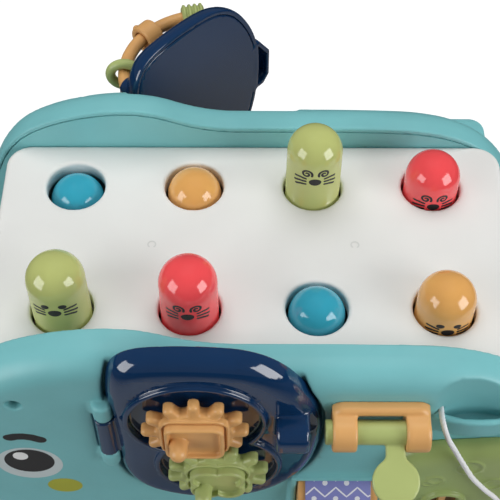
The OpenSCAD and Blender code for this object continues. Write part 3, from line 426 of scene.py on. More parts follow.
def lengths_along(line):
    """How far along a line each of its points lies."""
    return np.concatenate([[0], np.cumsum(np.linalg.norm(np.diff(line, axis=0), axis=1))])


def build_mesh(name, points, faces, normals=None):
    """Mesh from points in millimetres and arrays of triangles or quads."""
    mesh = bpy.data.meshes.new(name)
    mesh.vertices.add(len(points))
    mesh.vertices.foreach_set("co", (np.asarray(points) * MM).astype(np.float32).ravel())
    faces = [np.asarray(f, np.int32) for f in faces if len(f)]
    sizes = np.concatenate([np.full(len(f), f.shape[1], np.int32) for f in faces])
    corners = np.concatenate([f.ravel() for f in faces])
    mesh.loops.add(len(corners))
    mesh.loops.foreach_set("vertex_index", corners)
    mesh.polygons.add(len(sizes))
    mesh.polygons.foreach_set("loop_start", np.cumsum(sizes) - sizes)
    mesh.polygons.foreach_set("use_smooth", np.ones(len(sizes), bool))
    mesh.update(calc_edges=True)
    mesh.validate()
    if normals is not None:
        mesh.normals_split_custom_set_from_vertices(normals.astype(np.float32))
    return mesh


def add_piece(mesh, body, paint, node=None):
    """Adds a mesh, with the paint in its slot, to a body if one is given, and hides the node that it takes
    the place of, if one is given.
    """
    piece = add_object(mesh.name, mesh)
    mesh.materials.append(paint)
    if body:
        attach(piece, body)
    if node:
        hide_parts(node)
    return piece


def sample(field, at):
    """The field's values between its grid points."""
    low = np.clip(np.floor(at).astype(int), 0, np.array(field.shape) - 2)
    share = at - low
    value = 0
    for corner in np.ndindex(2, 2, 2):
        weight = np.where(corner, share, 1 - share).prod(axis=1)
        value = value + weight * field[tuple((low + corner).T)]
    return value


def skin(name, grid, field, place, adaptivity=0.1):
    """The mesh of a field's zero surface, with the field's own slopes as normals."""
    field = np.ascontiguousarray(np.broadcast_to(field, grid.shape), np.float32)
    limit = MARGIN * grid.voxel
    volume = vdb.FloatGrid(limit)
    volume.copyFromArray(np.clip(field, -limit, limit))
    at, triangles, quads = volume.convertToPolygons(isovalue=0.0, adaptivity=adaptivity)
    at = at.astype(float)
    slope = columns(*(sample(field, at + step) - sample(field, at - step)
                      for step in SLOPE_STEP * np.eye(3)))
    slope /= np.maximum(np.linalg.norm(slope, axis=1, keepdims=True), 1e-9)
    turn, move = place
    points = grid.low + grid.voxel * at
    points[:, 2] = grid.height(points[:, 2])
    points = points @ turn.T + move
    normals = slope @ turn.T
    first = quads if len(quads) else triangles
    facing = np.cross(points[first[:, 1]] - points[first[:, 0]], points[first[:, 2]] - points[first[:, 1]])
    if (facing * normals[first[:, 0]]).sum() < 0:
        triangles, quads = triangles[:, ::-1], quads[:, ::-1]
    return build_mesh(name, points, [triangles, quads], normals)


def tube_faces(rings, segments):
    """Quads between rings of points and a fan at each end, whose tips are the last two points."""
    i = np.arange(segments)
    j = (i + 1) % segments
    band = columns(i, j, j + segments, i + segments)
    quads = np.concatenate([band + k * segments for k in range(rings - 1)])
    last = (rings - 1) * segments
    start, end = np.full(segments, rings * segments), np.full(segments, rings * segments + 1)
    return [quads, np.concatenate([columns(start, j, i), columns(end, last + i, last + j)])]


def lathe(name, profile, place, segments=96):
    """Closed solid of revolution; profile runs from axis to axis as (radius, height)."""
    profile = np.array(profile, float)
    around = full_turn(segments)
    radius, height = profile[1:-1, 0, None], profile[1:-1, 1, None]
    rings = columns(radius * np.cos(around), radius * np.sin(around), np.repeat(height, segments, 1))
    points = np.vstack([rings.reshape(-1, 3), [0, 0, profile[0, 1]], [0, 0, profile[-1, 1]]])
    turn, move = place
    return build_mesh(name, points @ turn.T + move, tube_faces(len(rings), segments))


def arc(centre, r, start, stop, steps=8):
    a = np.radians(np.linspace(start, stop, steps + 1))
    return [(centre[0] + r * math.cos(t), centre[1] + r * math.sin(t)) for t in a]


# Thin prints that follow a surface
PRINT_DEPTH, PRINT_LIFT = 0.12, 0.03
TIP_ROWS, TIP_START, TIP_CLEAR = 6, 0.12, 1.1
INNERMOST = 0.002


def stroke(points, width, steps=3):
    """A line of even width with round ends, as rows of points across it."""
    points = np.array(points, float)
    fine = np.concatenate([points[i] + (points[i + 1] - points[i]) * np.arange(steps)[:, None] / steps
                           for i in range(len(points) - 1)] + [points[-1:]])
    along = lengths_along(fine)
    r = width / 2
    tips = r * (1 - np.cos(np.linspace(TIP_START, math.pi / 2, TIP_ROWS)))
    between = along[(along > r * TIP_CLEAR) & (along < along[-1] - r * TIP_CLEAR)]
    rows = np.concatenate([tips, between, along[-1] - tips[::-1]])
    fine = columns(np.interp(rows, along, fine[:, 0]), np.interp(rows, along, fine[:, 1]))
    way = unit(np.gradient(fine, axis=0))
    short = np.clip(r - np.minimum(rows, along[-1] - rows), 0, r)
    side = columns(-way[:, 1], way[:, 0]) * np.sqrt(r * r - short * short)[:, None]
    return np.stack([fine - side, fine, fine + side], 1), False


def ellipse(centre, half, tilt=0.0, rings=5, segments=40):
    """A filled ellipse as rings of points."""
    t = np.radians(tilt)
    a = full_turn(segments)
    r = np.linspace(INNERMOST, 1, rings)[:, None]
    u, v = half[0] * r * np.cos(a), half[1] * r * np.sin(a)
    flat = columns(centre[0] + u * math.cos(t) - v * math.sin(t),
                   centre[1] + u * math.sin(t) + v * math.cos(t))
    return np.transpose(flat, (1, 0, 2)), True


def decal(name, shapes, surface, lift):
    """One thin closed mesh of all the shapes; surface gives points and normals for (a, b) places."""
    points, normals, faces = [], [], []
    total = 0
    for rows, closed in shapes:
        n, m = rows.shape[:2]
        size = n * m
        at, normal = surface(rows.reshape(-1, 2))
        points += [at + normal * lift, at - normal * (PRINT_DEPTH - lift)]
        normals += [normal, -normal]
        here = np.arange(n if closed else n - 1)
        after = (here + 1) % n
        cells = np.arange(m - 1)
        a = (here[:, None] * m + cells).ravel()
        b = (after[:, None] * m + cells).ravel()
        top = columns(a, b, b + 1, a + 1)
        across = np.cross(at[top[:, 2]] - at[top[:, 0]], at[top[:, 3]] - at[top[:, 1]])
        order = slice(None) if np.sum(across * normal[top[:, 0]]) > 0 else slice(None, None, -1)
        edges = [columns(after, here) * m, columns(here, after) * m + m - 1]
        if not closed:
            edges += [columns(cells, cells + 1), (n - 1) * m + columns(cells + 1, cells)]
        a, b = np.concatenate(edges).T
        rim = columns(a, a + size, b + size, b)
        faces += [total + top[:, order], total + size + top[:, ::-1][:, order], total + rim[:, order]]
        total += 2 * size
    return build_mesh(name, np.concatenate(points), faces, np.concatenate(normals))


# Elephant sides
SIDE_LOOP, EAR_LOOP, HILL_LOOP = (smooth_loop(g) for g in (SIDE_GUIDE, EAR_GUIDE, HILL_GUIDE))
TAB_LOOP = np.array(TAB, float)
SIDE_GRID = (-165, HALF_W - 0.5, -0.5), (151, 96, 184), 0.75
SIDE_FILLET, EAR_GAP, HINGE_GAP = 12.0, 1.2, 0.8
COVER_INSET, COVER_DEPTH = 2.6, 64.4
SCREW_SPOTS = ((-105.0, 147.0), (-83.0, 26.0), (104.0, 26.0))
SCREW_R, SCREW_FLOOR = 3.8, 68.0
LIP_CENTRE, LIP_R, LIP_INNER_R, LIP_Z, LIP_ROOT = 34.1, 52.3, 49.1, (127, 139), 80.0
SCOOP_CENTRE, SCOOP_R, SCOOP_FLOOR, HOLDER_FLOOR = 115.5, 39.5, 139.2, 130.4
FRAME_S, WINDOW_FLOOR = (70, 84.5), 50.0
CORD_HOLE_R, CORD_HOLE_S = 1.4, (60, 90)
SHELF_X, SHELF_S, SHELF_Z, SHELF_CORNER = (78, 122), (69, 95), (101, 141), 8.0


def side_field(g, outline, ear):
    """What both sides share: the rounded plate, the ear's pocket, the hinge and the screw wells."""
    f = plate(outline, g.s, HALF_W, FACE, SIDE_FILLET)
    f = cut(f, rounded(ear - EAR_GAP, POCKET - g.s, r=0.6), r=1.6)
    hinge = np.hypot(g.x - HINGE_X, g.s - HINGE_S)
    f = cut(f, rounded(hinge - KNUCKLE_R - HINGE_GAP, span(g.z, *BARREL), r=0.5), r=0.8)
    for low, high in KNUCKLES:
        f = join(f, rounded(hinge - KNUCKLE_R, span(g.z, low, high), r=1.8), r=0.8)
    for x, z in SCREW_SPOTS:
        well = np.hypot(g.x - x, g.z - z) - SCREW_R
        f = cut(f, rounded(well, SCREW_FLOOR - g.s, r=0.5), r=0.9)
    return cut(f, rounded(outline + COVER_INSET, g.s - COVER_DEPTH, r=0.4), r=0.6)


def front_side_field(g, outline, ear):
    """Adds the hammer holder, the roller's framed window and the cord's hole."""
    f = side_field(g, outline, ear)
    lip = np.hypot(g.x - HOLDER_X, g.s - LIP_CENTRE)
    f = join(f, rounded(lip - LIP_R, span(g.z, *LIP_Z), LIP_ROOT - g.s, r=1.2), r=1.2)
    scoop = np.hypot(g.x - HOLDER_X, g.s - SCOOP_CENTRE) - SCOOP_R
    f = cut(f, rounded(scoop, lip - LIP_INNER_R, HOLDER_FLOOR - g.z, r=0.6), r=0.8)
    f = cut(f, rounded(scoop, SCOOP_FLOOR - g.z, r=0.4), r=0.8)
    wide, tall = span(g.x, *WINDOW_X), np.abs(g.z - ROLLER_Z) - WINDOW_HALF
    f = join(f, rounded(wide - FRAME_W, tall - FRAME_W, span(g.s, *FRAME_S), r=1.3), r=1.2)
    f = cut(f, rounded(wide, tall, WINDOW_FLOOR - g.s, r=0.8), r=1.0)
    hole_x, _, hole_z = CORD_ROUTE[0]
    return cut(f, rod(g.x - hole_x, g.z - hole_z, g.s, CORD_HOLE_R, *CORD_HOLE_S), r=0.5)


def rear_side_field(g, outline, ear):
    """Adds the room for the ear's pull tab, and the shelf."""
    f = side_field(g, outline, ear)
    tab = loop_distance(TAB_LOOP, g.x, g.z)
    f = cut(f, rounded(tab - EAR_GAP, POCKET - g.s, r=0.6), r=1.4)
    shelf = rounded(span(g.x, *SHELF_X), span(g.s, *SHELF_S), r=SHELF_CORNER)
    return join(f, rounded(shelf, span(g.z, *SHELF_Z), r=2.5), r=2.0)


def make_sides(paints):
    g = Grid(*SIDE_GRID)
    outline = loop_distance(SIDE_LOOP, g.x, g.z)
    ear = loop_distance(EAR_LOOP, g.x, g.z)
    for name, field, place in (("front", front_side_field, FRONT), ("rear", rear_side_field, REAR)):
        mesh = skin(f"{name}_side_shell", g, field(g, outline, ear), place)
        add_piece(mesh, "housing", paints["teal"], f"{name}_side")


def side_surface(place):
    """Places on a side's front, for prints."""
    turn, move = place

    def depth(x, z):
        inset = np.minimum(-loop_distance(SIDE_LOOP, x, z), SIDE_FILLET)
        return FACE - SIDE_FILLET + np.sqrt(np.maximum(SIDE_FILLET ** 2 - (SIDE_FILLET - inset) ** 2, 0))

    def surface(at):
        x, z = at[:, 0], at[:, 1]
        step = 0.5
        dx = (depth(x + step, z) - depth(x - step, z)) / (2 * step)
        dz = (depth(x, z + step) - depth(x, z - step)) / (2 * step)
        normal = unit(columns(-dx, np.ones_like(dx), -dz))
        return columns(x, depth(x, z), z) @ turn.T + move, normal @ turn.T

    return surface


BROW = ((-114.0, 115.6), (-112.0, 116.7), (-108.6, 118.0), (-105.0, 118.2), (-101.2, 117.2),
        (-97.6, 115.0), (-95.2, 113.2))
BROW_WIDTH = 6.0
# Name, paint, height over the surface and shapes, with the upper ones higher
EYE_SHAPES = (
    ("eye_white", "eye", 0.03, [ellipse((-105.9, 90.8), (15.6, 16.0))]),
    ("eye_pupil", "ink", 0.06, [ellipse((-105.7, 93.3), (11.8, 11.8))]),
    ("eye_glint", "glint", 0.09, [ellipse((-109.2, 98.4), (3.6, 3.9))]),
    ("eye_brow", "ink", 0.03, [stroke(BROW, BROW_WIDTH, 6)]),
    ("eye_cheek", "cheek", 0.03, [ellipse((-92.1, 66.5), (8.5, 7.6))]),
)


def make_eyes(paints):
    for side, place in (("front", FRONT), ("rear", REAR)):
        surface = side_surface(place)
        for name, paint, lift, shapes in EYE_SHAPES:
            add_piece(decal(f"{side}_{name}", shapes, surface, lift), "housing", paints[paint])


# Ears
EAR_GRID = (-72, EAR_BACK - 0.5, 58), (44, 101, 192), 0.55
EAR_COVER_INSET, EAR_COVER_FRONT, EAR_COVER_GAP = 2.8, 79.2, 0.2
BARREL_GAP, KNUCKLE_GAP, LINK_LENGTH, LINK_S = 0.4, 0.5, 11.0, (80.0, 84.6)
ORANGE_WELL_R, GREEN_WELL_R, WELL_RIM, WELL_RIM_S = 29.0, 26.6, 2.6, (84, 90.2)
LUG_X, LUG_S, LUG_Z, LUG_CORNER = (9.8, 24.6), (74, 99.7), (131.9, 149.3), 7.0
SOCKET_X, SOCKET_S, SOCKET_Z = (13.3, 50), (84.8, 97.2), (134.4, 146.8)
TAB_FRONT, TAB_WALL, TAB_HOLLOW, TAB_GAP = 86.0, 2.6, 83.4, 0.4
ROD_FOOT_AT, ROD_FOOT_R, ROD_FOOT_S = 34.5, 5.0, (82, 89)


def ear_field(g, ear):
    """What both ears share: the rounded shell, the hinge's barrel and the back cover's recess."""
    f = plate(ear, g.s, EAR_BACK, EAR_FACE, EAR_ROUND, 0.8)
    hinge = np.hypot(g.x - HINGE_X, g.s - HINGE_S)
    length = span(g.z, BARREL[0] + BARREL_GAP, BARREL[1] - BARREL_GAP)
    barrel = rounded(hinge - KNUCKLE_R, length, r=0.6)
    link = rounded(span(g.x, HINGE_X, HINGE_X + LINK_LENGTH), span(g.s, *LINK_S), length, r=0.6)
    f = join(f, join(barrel, link, r=0.6), r=0.5)
    for low, high in KNUCKLES:
        room = span(g.z, low - BARREL_GAP, high + BARREL_GAP)
        f = cut(f, rounded(hinge - KNUCKLE_R - KNUCKLE_GAP, room, r=0.3), r=0.5)
    return cut(f, rounded(ear + EAR_COVER_INSET, g.s - EAR_COVER_FRONT, r=0.3), r=0.5)


def front_ear_field(g, ear):
    """Adds the gears' well with its rim, and the lug with the bolt's socket."""
    f = ear_field(g, ear)
    well = join(np.hypot(g.x - ORANGE_AT[0], g.z - ORANGE_AT[1]) - ORANGE_WELL_R,
                np.hypot(g.x - GREEN_AT[0], g.z - GREEN_AT[1]) - GREEN_WELL_R, r=1.0)
    f = join(f, rounded(well - WELL_RIM, span(g.s, *WELL_RIM_S), r=1.0), r=0.6)
    f = cut(f, rounded(well, EAR_FLOOR - g.s, r=0.6), r=0.6)
    lug = rounded(span(g.s, *LUG_S), span(g.z, *LUG_Z), r=LUG_CORNER)
    f = join(f, rounded(lug, span(g.x, *LUG_X), r=2.2), r=1.2)
    socket = rounded(span(g.x, *SOCKET_X), span(g.s, *SOCKET_S), span(g.z, *SOCKET_Z), r=1.0)
    return cut(f, socket, r=0.8)


def rear_ear_field(g, ear):
    """Adds the hollow pull tab and the feet of the bead rod."""
    f = ear_field(g, ear)
    tab = loop_distance(TAB_LOOP, g.x, g.z)
    f = join(f, rounded(tab, span(g.s, EAR_BACK, TAB_FRONT), r=1.2), r=1.0)
    f = cut(f, rounded(tab + TAB_WALL, g.s - TAB_HOLLOW, TAB_GAP - ear, r=0.4), r=0.6)
    for x in (ROD_MID - ROD_FOOT_AT, ROD_MID + ROD_FOOT_AT):
        f = join(f, rod(g.x - x, g.z - ROD_Z, g.s, ROD_FOOT_R, *ROD_FOOT_S, r=1.0), r=1.5)
    return f


def make_ears(paints):
    g = Grid(*EAR_GRID)
    ear = loop_distance(EAR_LOOP, g.x, g.z)
    for name, field, place in (("front", front_ear_field, FRONT), ("rear", rear_ear_field, REAR_EAR)):
        mesh = skin(f"{name}_ear_body", g, field(g, ear), place)
        add_piece(mesh, f"{name}_ear", paints["navy"], f"{name}_ear_shell")
        cover = plate(ear + EAR_COVER_INSET + EAR_COVER_GAP, g.s, EAR_BACK, EAR_COVER_FRONT, 0.5, 0.6)
        mesh = skin(f"{name}_ear_panel", g, cover, place)
        add_piece(mesh, f"{name}_ear", paints["navy"], f"{name}_ear_cover")


# Gears
GEAR_TEETH, GEAR_VOXEL, GEAR_REACH, GEAR_LOW = 12, 0.36, 24.0, GEAR_SEAT - 0.3
TOOTH_ROOT, TOOTH_TIP, TOOTH_SINK = 2.91, 2.31, 4.0
GEAR_ROOT_R, GEAR_TIP_R, BOSS_R = 16.8, 23.4, 8.0
HUB_HALF, HUB_CORNER, HUB_WALL, HUB_FLOOR, HUB_SINK = 12.8, 4.5, 1.9, 97.8, 2.0
HUB_COLLAR, HUB_COLLAR_RISE = 2.0, 1.6
GROOVE_AT, GROOVE_HALF, GROOVE_RISE = 0.35, 0.45, 0.2
CLOVER_R, CLOVER_AT, CLOVER_MIDDLE = 7.7, 7.0, 9.0
PEG_ROOT_R, PEG_TIP_R, PEG_SINK, PEG_TIP = 4.4, 3.6, 1.0, 107.2


def square_hub(x, z):
    return rounded(np.abs(x) - HUB_HALF, np.abs(z) - HUB_HALF, r=HUB_CORNER)


def clover_hub(x, z):
    leaf = CLOVER_AT * math.sqrt(0.5)
    leaves = np.hypot(np.abs(x) - leaf, np.abs(z) - leaf) - CLOVER_R
    return np.minimum(leaves, np.hypot(x, z) - CLOVER_MIDDLE)


# Name, place, the angle of one tooth, the hub's outline, and the turning peg's place on it
GEARS = (("orange", ORANGE_AT, 90.0, square_hub, (-6.8, -0.8)),
         ("green", GREEN_AT, -79.8, clover_hub, (-6.6, -5.4)))


def gear_field(g, at, phase, outline, peg_at):
    """Disc with round-ended teeth, a collared hub with a dish, and the turning peg in it."""
    x, z = g.x - at[0], g.z - at[1]
    pitch = 2 * math.pi / GEAR_TEETH
    radius = np.hypot(x, z)
    angle = np.mod(np.arctan2(z, x) - math.radians(phase) + pitch / 2, pitch) - pitch / 2
    tooth = peg(np.abs(radius * np.sin(angle)), radius * np.cos(angle), TOOTH_ROOT, TOOTH_TIP,
                GEAR_ROOT_R - TOOTH_SINK, GEAR_TIP_R)
    f = rounded(radius - GEAR_ROOT_R, span(g.s, GEAR_BACK, GEAR_FRONT), r=1.0)
    f = join(f, plate(tooth, g.s, GEAR_BACK, GEAR_FRONT, 2.0, 0.6), r=1.0)
    f = join(f, rod(x, z, g.s, BOSS_R, GEAR_SEAT, GEAR_FRONT), r=0.6)
    hub = outline(x, z)
    collar = span(g.s, GEAR_FRONT - HUB_SINK, GEAR_FRONT + HUB_COLLAR_RISE)
    f = join(f, rounded(hub - HUB_COLLAR, collar, r=0.6), r=0.6)
    groove = np.abs(hub - GROOVE_AT) - GROOVE_HALF
    f = cut(f, rounded(groove, GEAR_FRONT + GROOVE_RISE - g.s, r=0.1), r=0.4)
    f = join(f, rounded(hub, span(g.s, GEAR_FRONT - HUB_SINK, HUB_FRONT), r=1.1), r=0.3)
    f = cut(f, rounded(hub + HUB_WALL, HUB_FLOOR - g.s, r=0.7), r=0.9)
    across = np.hypot(x - peg_at[0], z - peg_at[1])
    return join(f, peg(across, g.s, PEG_ROOT_R, PEG_TIP_R, GEAR_FRONT - PEG_SINK, PEG_TIP), r=0.3)


def make_gears(paints):
    for name, at, phase, outline, peg_at in GEARS:
        low = (at[0] - GEAR_REACH, GEAR_LOW, at[1] - GEAR_REACH)
        g = Grid(low, (at[0] + GEAR_REACH, PEG_TIP, at[1] + GEAR_REACH), GEAR_VOXEL)
        mesh = skin(f"{name}_gear_wheel", g, gear_field(g, at, phase, outline, peg_at), FRONT)
        add_piece(mesh, f"{name}_gear", paints[name], f"{name}_gear")


# Bolt, bracket and roller
BRACKET_GRID = (34, FACE - 0.5, 131), (78, 101, 153), 0.36
BOLT_GRID = (31, 85, 118), (77, 122, 147), 0.36
BRACKET_X = (34.3, 76.9)
LOOP_WIDTH, LOOP_R, LOOP_ROOT, LOOP_GAP = 10.7, 8.8, 78.0, 0.05
BAR_Z, BAR_S, BAR_CORNER = (147.0, 151.9), 87.4, 5.0
BOLT_X = (31.2, 76.6)
PADDLE_X, PADDLE_REACH, PADDLE_R, PADDLE_DROP = 61.9, 21.3, 10.4, 27.0
PADDLE_HALF, NECK_HALF = 2.0, 4.3
ROLLER_EDGE, SLEEVE_EDGE, SLEEVE_WALL = 0.8, 0.3, 1.2


def bracket_field(g):
    """A bar with round ends, and a loop round the bolt under each end."""
    corners = rounded(span(g.x, *BRACKET_X), g.z - BAR_Z[1], r=BAR_CORNER)
    f = rounded(corners, g.s - BAR_S, BAR_Z[0] - g.z, r=2.0)
    bolt = np.hypot(g.s - BOLT_S, g.z - BOLT_Z)
    loop = np.where(g.s > BOLT_S, bolt, np.abs(g.z - BOLT_Z)) - LOOP_R
    for x in (BRACKET_X[0], BRACKET_X[1] - LOOP_WIDTH):
        strap = rounded(loop, span(g.x, x, x + LOOP_WIDTH), LOOP_ROOT - g.s, r=1.3)
        f = join(f, np.maximum(strap, corners), r=1.4)
    f = cut(f, bolt - BOLT_R - LOOP_GAP, r=0.5)
    return np.maximum(f, FACE - g.s)


def bolt_field(g):
    """The sliding rod, and a round paddle on a neck that leans forward from it."""
    f = rod(g.s - BOLT_S, g.z - BOLT_Z, g.x, BOLT_R, *BOLT_X, r=1.0)
    drop = math.radians(PADDLE_DROP)
    out = (g.s - BOLT_S) * math.cos(drop) - (g.z - BOLT_Z) * math.sin(drop)
    lift = (g.s - BOLT_S) * math.sin(drop) + (g.z - BOLT_Z) * math.cos(drop)
    disc = np.hypot(g.x - PADDLE_X, out - PADDLE_REACH) - PADDLE_R
    shape = join(np.abs(g.x - PADDLE_X) - NECK_HALF, disc, r=2.0)
    shape = np.maximum(shape, span(out, 0, PADDLE_REACH + PADDLE_R))
    return join(f, rounded(shape, np.abs(lift) - PADDLE_HALF, r=1.0), r=0.8)


# A lathe's axis laid along X at the roller's height
ROLLER_PLACE = np.array([[0, 0, 1], [0, -1, 0], [1, 0, 0]]), np.array([0, -ROLLER_S, ROLLER_Z])
ROLLER_ROWS, PRINT_EDGE, VALLEY_IN, VALLEY_TURN = 12, 0.2, 4.3, 0.4
ZIGZAG_STEP, ZIGZAG_RISE, ZIGZAG_LINE, ZIGZAG_TURNS = 10.5, 4.7, 0.75, range(-2, 9)
DOT_R, DOT_RISE, PATTERN_LIFT = 1.3, 0.57, 0.04


def roller_surface(at):
    """Places on the sleeve: along X and round it, in millimetres."""
    a = at[:, 1] / ROLLER_R
    normal = columns(np.zeros_like(a), -np.cos(a), np.sin(a))
    axis = columns(at[:, 0], np.full_like(a, -ROLLER_S), np.full_like(a, ROLLER_Z))
    return axis + normal * ROLLER_R, normal


def roller_print():
    """Rows of zigzag lines with dots over their valleys; every second row is half a step along."""
    row = 2 * math.pi * ROLLER_R / ROLLER_ROWS
    half = ZIGZAG_STEP / 2
    low, high = SLEEVE_X[0] + PRINT_EDGE, SLEEVE_X[1] - PRINT_EDGE
    valley = SLEEVE_X[0] + VALLEY_IN
    turns = [valley + i * half for i in ZIGZAG_TURNS]
    shapes = []
    for k in range(ROLLER_ROWS):
        middle = (k + 0.5) * row + VALLEY_TURN
        line = []
        for x in (low, *(x for x in turns if low < x < high), high):
            swing = abs(((x - valley) / half + k) % 2 - 1)
            line.append((x, middle + ZIGZAG_RISE * (0.5 - swing)))
        shapes.append(stroke(line, ZIGZAG_LINE, 5))
        for i, x in enumerate(turns):
            if (i + k) % 2 == 0 and low + DOT_R < x < high - DOT_R:
                shapes.append(ellipse((x, middle + DOT_RISE * row), (DOT_R, DOT_R), segments=20, rings=3))
    return shapes


def drum(low, high, r, edge, steps):
    """A lathe's profile for a cylinder with round edges."""
    return [(0, low), *arc((r - edge, low + edge), edge, 270, 360, steps),
            *arc((r - edge, high - edge), edge, 0, 90, steps), (0, high)]


def make_fittings(paints):
    g = Grid(*BRACKET_GRID)
    add_piece(skin("bracket", g, bracket_field(g), FRONT), "housing", paints["orange"], "bolt_bracket")
    g = Grid(*BOLT_GRID)
    add_piece(skin("bolt", g, bolt_field(g), FRONT), "slide_bolt", paints["green"], "slide_bolt")
    core = drum(*ROLLER_X, ROLLER_R - SLEEVE_WALL, ROLLER_EDGE, 8)
    add_piece(lathe("roller_drum", core, ROLLER_PLACE), "roller", paints["orange"], "roller_core")
    sleeve = drum(*SLEEVE_X, ROLLER_R, SLEEVE_EDGE, 4)
    add_piece(lathe("roller_wrap", sleeve, ROLLER_PLACE), "roller", paints["purple"], "roller_sleeve")
    pattern = decal("roller_pattern", roller_print(), roller_surface, PATTERN_LIFT)
    add_piece(pattern, "roller", paints["print"])


# Hill
HILL_GRID = (60, FACE - 0.4, 18), (141, 93, 122), 0.5
HILL_BULGE, HILL_SLOPE, HILL_POWER = 8.0, 13.0, 2.6
RING_R, RING_SINK = 0.7, 0.3
ARCH_RIM, ARCH_S, DOOR_FLOOR = 2.6, (80, 92.2), 84.0
HILL_RINGS = ((100.4, 103.6, 6.0), (86.2, 90.0, 3.4), (82.6, 86.6, 2.4), (114.2, 86.4, 4.8))


def hill_field(g, hill):
    """A bulging cover with raised rings and the door's arched recess in a rim."""
    rim = np.maximum((hill + HILL_SLOPE) * HILL_BULGE / HILL_SLOPE, 0)
    up = np.maximum(g.s - FACE, 0)
    f = (rim ** HILL_POWER + up ** HILL_POWER) ** (1 / HILL_POWER) - HILL_BULGE
    crest = g.s - FACE - HILL_BULGE + RING_SINK
    for x, z, r in HILL_RINGS:
        f = join(f, np.hypot(np.hypot(g.x - x, g.z - z) - r, crest) - RING_R, r=1.0)
    arch = np.hypot(g.x - DOOR_X, np.maximum(g.z - (DOOR_TOP - DOOR_R), 0)) - DOOR_R
    arch = np.maximum(arch, DOOR_TOP - DOOR_HEIGHT - g.z)
    f = join(f, rounded(arch - ARCH_RIM, span(g.s, *ARCH_S), r=1.3), r=0.8)
    f = cut(f, rounded(arch, DOOR_FLOOR - g.s, r=0.4), r=0.8)
    return np.maximum(f, FACE - g.s)


def make_hill(paints):
    g = Grid(*HILL_GRID)
    hill = loop_distance(HILL_LOOP, g.x, g.z)
    mesh = skin("hill", g, hill_field(g, hill), FRONT)
    add_piece(mesh, "housing", paints["hill"], "hill_cover")


# Deck and moles
DECK_CORNER, DECK_WALL, DECK_FLOOR = 12.0, 2.6, 3.0
DECK_GRID = (-HALF_L, -HALF_W, DECK_FLOOR), (HALF_L, HALF_W, DECK), 0.9
DECK_PLAIN = (DECK_FLOOR + 8, DECK - 16)
COLLAR_WALL, COLLAR_DEPTH, COLLAR_SINK, HOLE_DEPTH = 2.2, 8.6, 1.0, 20.0
MARK_X, MARK_R, MARK_LINE, MARK_LIFT = 48.0, 1.8, 0.7, 0.1
MARK_TURN = np.radians(np.arange(-60, 241, 10))


def deck_field(g):
    """The open-bottomed box, with a collar under each of its eight holes."""
    x, y = np.abs(g.x), np.abs(g.s)
    outer = rounded(x - HALF_L, y - HALF_W, r=DECK_CORNER)
    f = np.maximum(rounded(outer, g.z - DECK, r=2.2), DECK_FLOOR - g.z)
    hollow = rounded(outer + DECK_WALL, g.z - DECK + DECK_WALL, r=1.0)
    f = np.maximum(f, -hollow)
    row = np.abs(y - ROW_HALF)
    for column in (0.5, 1.5):
        hole = np.hypot(x - column * HOLE_PITCH, row) - HOLE_R
        collar = span(g.z, DECK - COLLAR_DEPTH, DECK - COLLAR_SINK)
        f = np.minimum(f, np.maximum(hole - COLLAR_WALL, collar))
        f = cut(f, np.maximum(hole, DECK - HOLE_DEPTH - g.z), r=1.8)
    return f


def make_deck(paints):
    g = Grid(*DECK_GRID, plain=DECK_PLAIN)
    mesh = skin("pounding_box", g, deck_field(g), REAR, adaptivity=0.0)
    add_piece(mesh, "housing", paints["white"], "deck_cover")


def make_deck_marks(paints):
    """The two faint round marks that the mould's ejector pins leave on the deck, drawn in a slightly
    darker white: a painted shade in place of the shading at the edges of their shallow relief.
    """
    def surface(at):
        top = np.column_stack([at, np.full(len(at), DECK)])
        return top, np.tile([0.0, 0.0, 1.0], (len(at), 1))

    ring = MARK_R * columns(np.cos(MARK_TURN), np.sin(MARK_TURN))
    shapes = [stroke(ring + (x, 0), MARK_LINE, 1) for x in (-MARK_X, MARK_X)]
    add_piece(decal("ejector_marks_painted_shade", shapes, surface, MARK_LIFT), "housing", paints["mark"])


MOLE_PAINTS = {"front": ("mole_green", "mole_red", "mole_blue", "mole_tan"),
               "rear": ("mole_blue", "mole_tan", "mole_green", "mole_red")}
SPIRAL_EYED = {("front", 1), ("rear", 2), ("rear", 3)}
STEM_EDGE, FOOT_EDGE, DOME_TURN, DOME_STEPS, MOLE_SEGMENTS = 1.0, 0.5, 88, 28, 112
NOSE_DROP, NOSE_HALF = 20.8, (3.0, 2.3)
WHISKERS = (((4.0, 1.9), (10.7, 1.7)), ((4.0, 0.1), (10.9, -1.4)), ((4.0, -1.8), (10.2, -3.8)))
WHISKER_LINE, WHISKER_BOW = 1.2, 0.4
SPIRAL_AT, SPIRAL_R, SPIRAL_LINE = (4.2, 5.4), (0.25, 2.85), 1.15
SPIRAL_TURNS, SPIRAL_POINTS = 1.6, 34
OVAL_AT, OVAL_HALF, OVAL_TILT = (3.9, 4.3), (2.0, 1.45), -25.0


def face_shapes(spiral):
    """Nose, whiskers and eyes as places round a mole and up from its nose."""
    shapes = [ellipse((0, 0), NOSE_HALF, rings=4, segments=28)]
    for side in (-1, 1):
        for start, end in WHISKERS:
            bow = ((start[0] + end[0]) / 2, (start[1] + end[1]) / 2 + WHISKER_BOW)
            shapes.append(stroke([(side * a, b) for a, b in (start, bow, end)], WHISKER_LINE, 6))
        if spiral:
            turn = np.linspace(0, SPIRAL_TURNS * 2 * math.pi, SPIRAL_POINTS)
            r = np.linspace(*SPIRAL_R, SPIRAL_POINTS)
            line = columns(side * (SPIRAL_AT[0] + r * np.cos(turn)), SPIRAL_AT[1] + r * np.sin(turn))
            shapes.append(stroke(line, SPIRAL_LINE, 2))
        else:
            centre = (side * OVAL_AT[0], OVAL_AT[1])
            shapes.append(ellipse(centre, OVAL_HALF, side * OVAL_TILT, rings=4, segments=24))
    return shapes


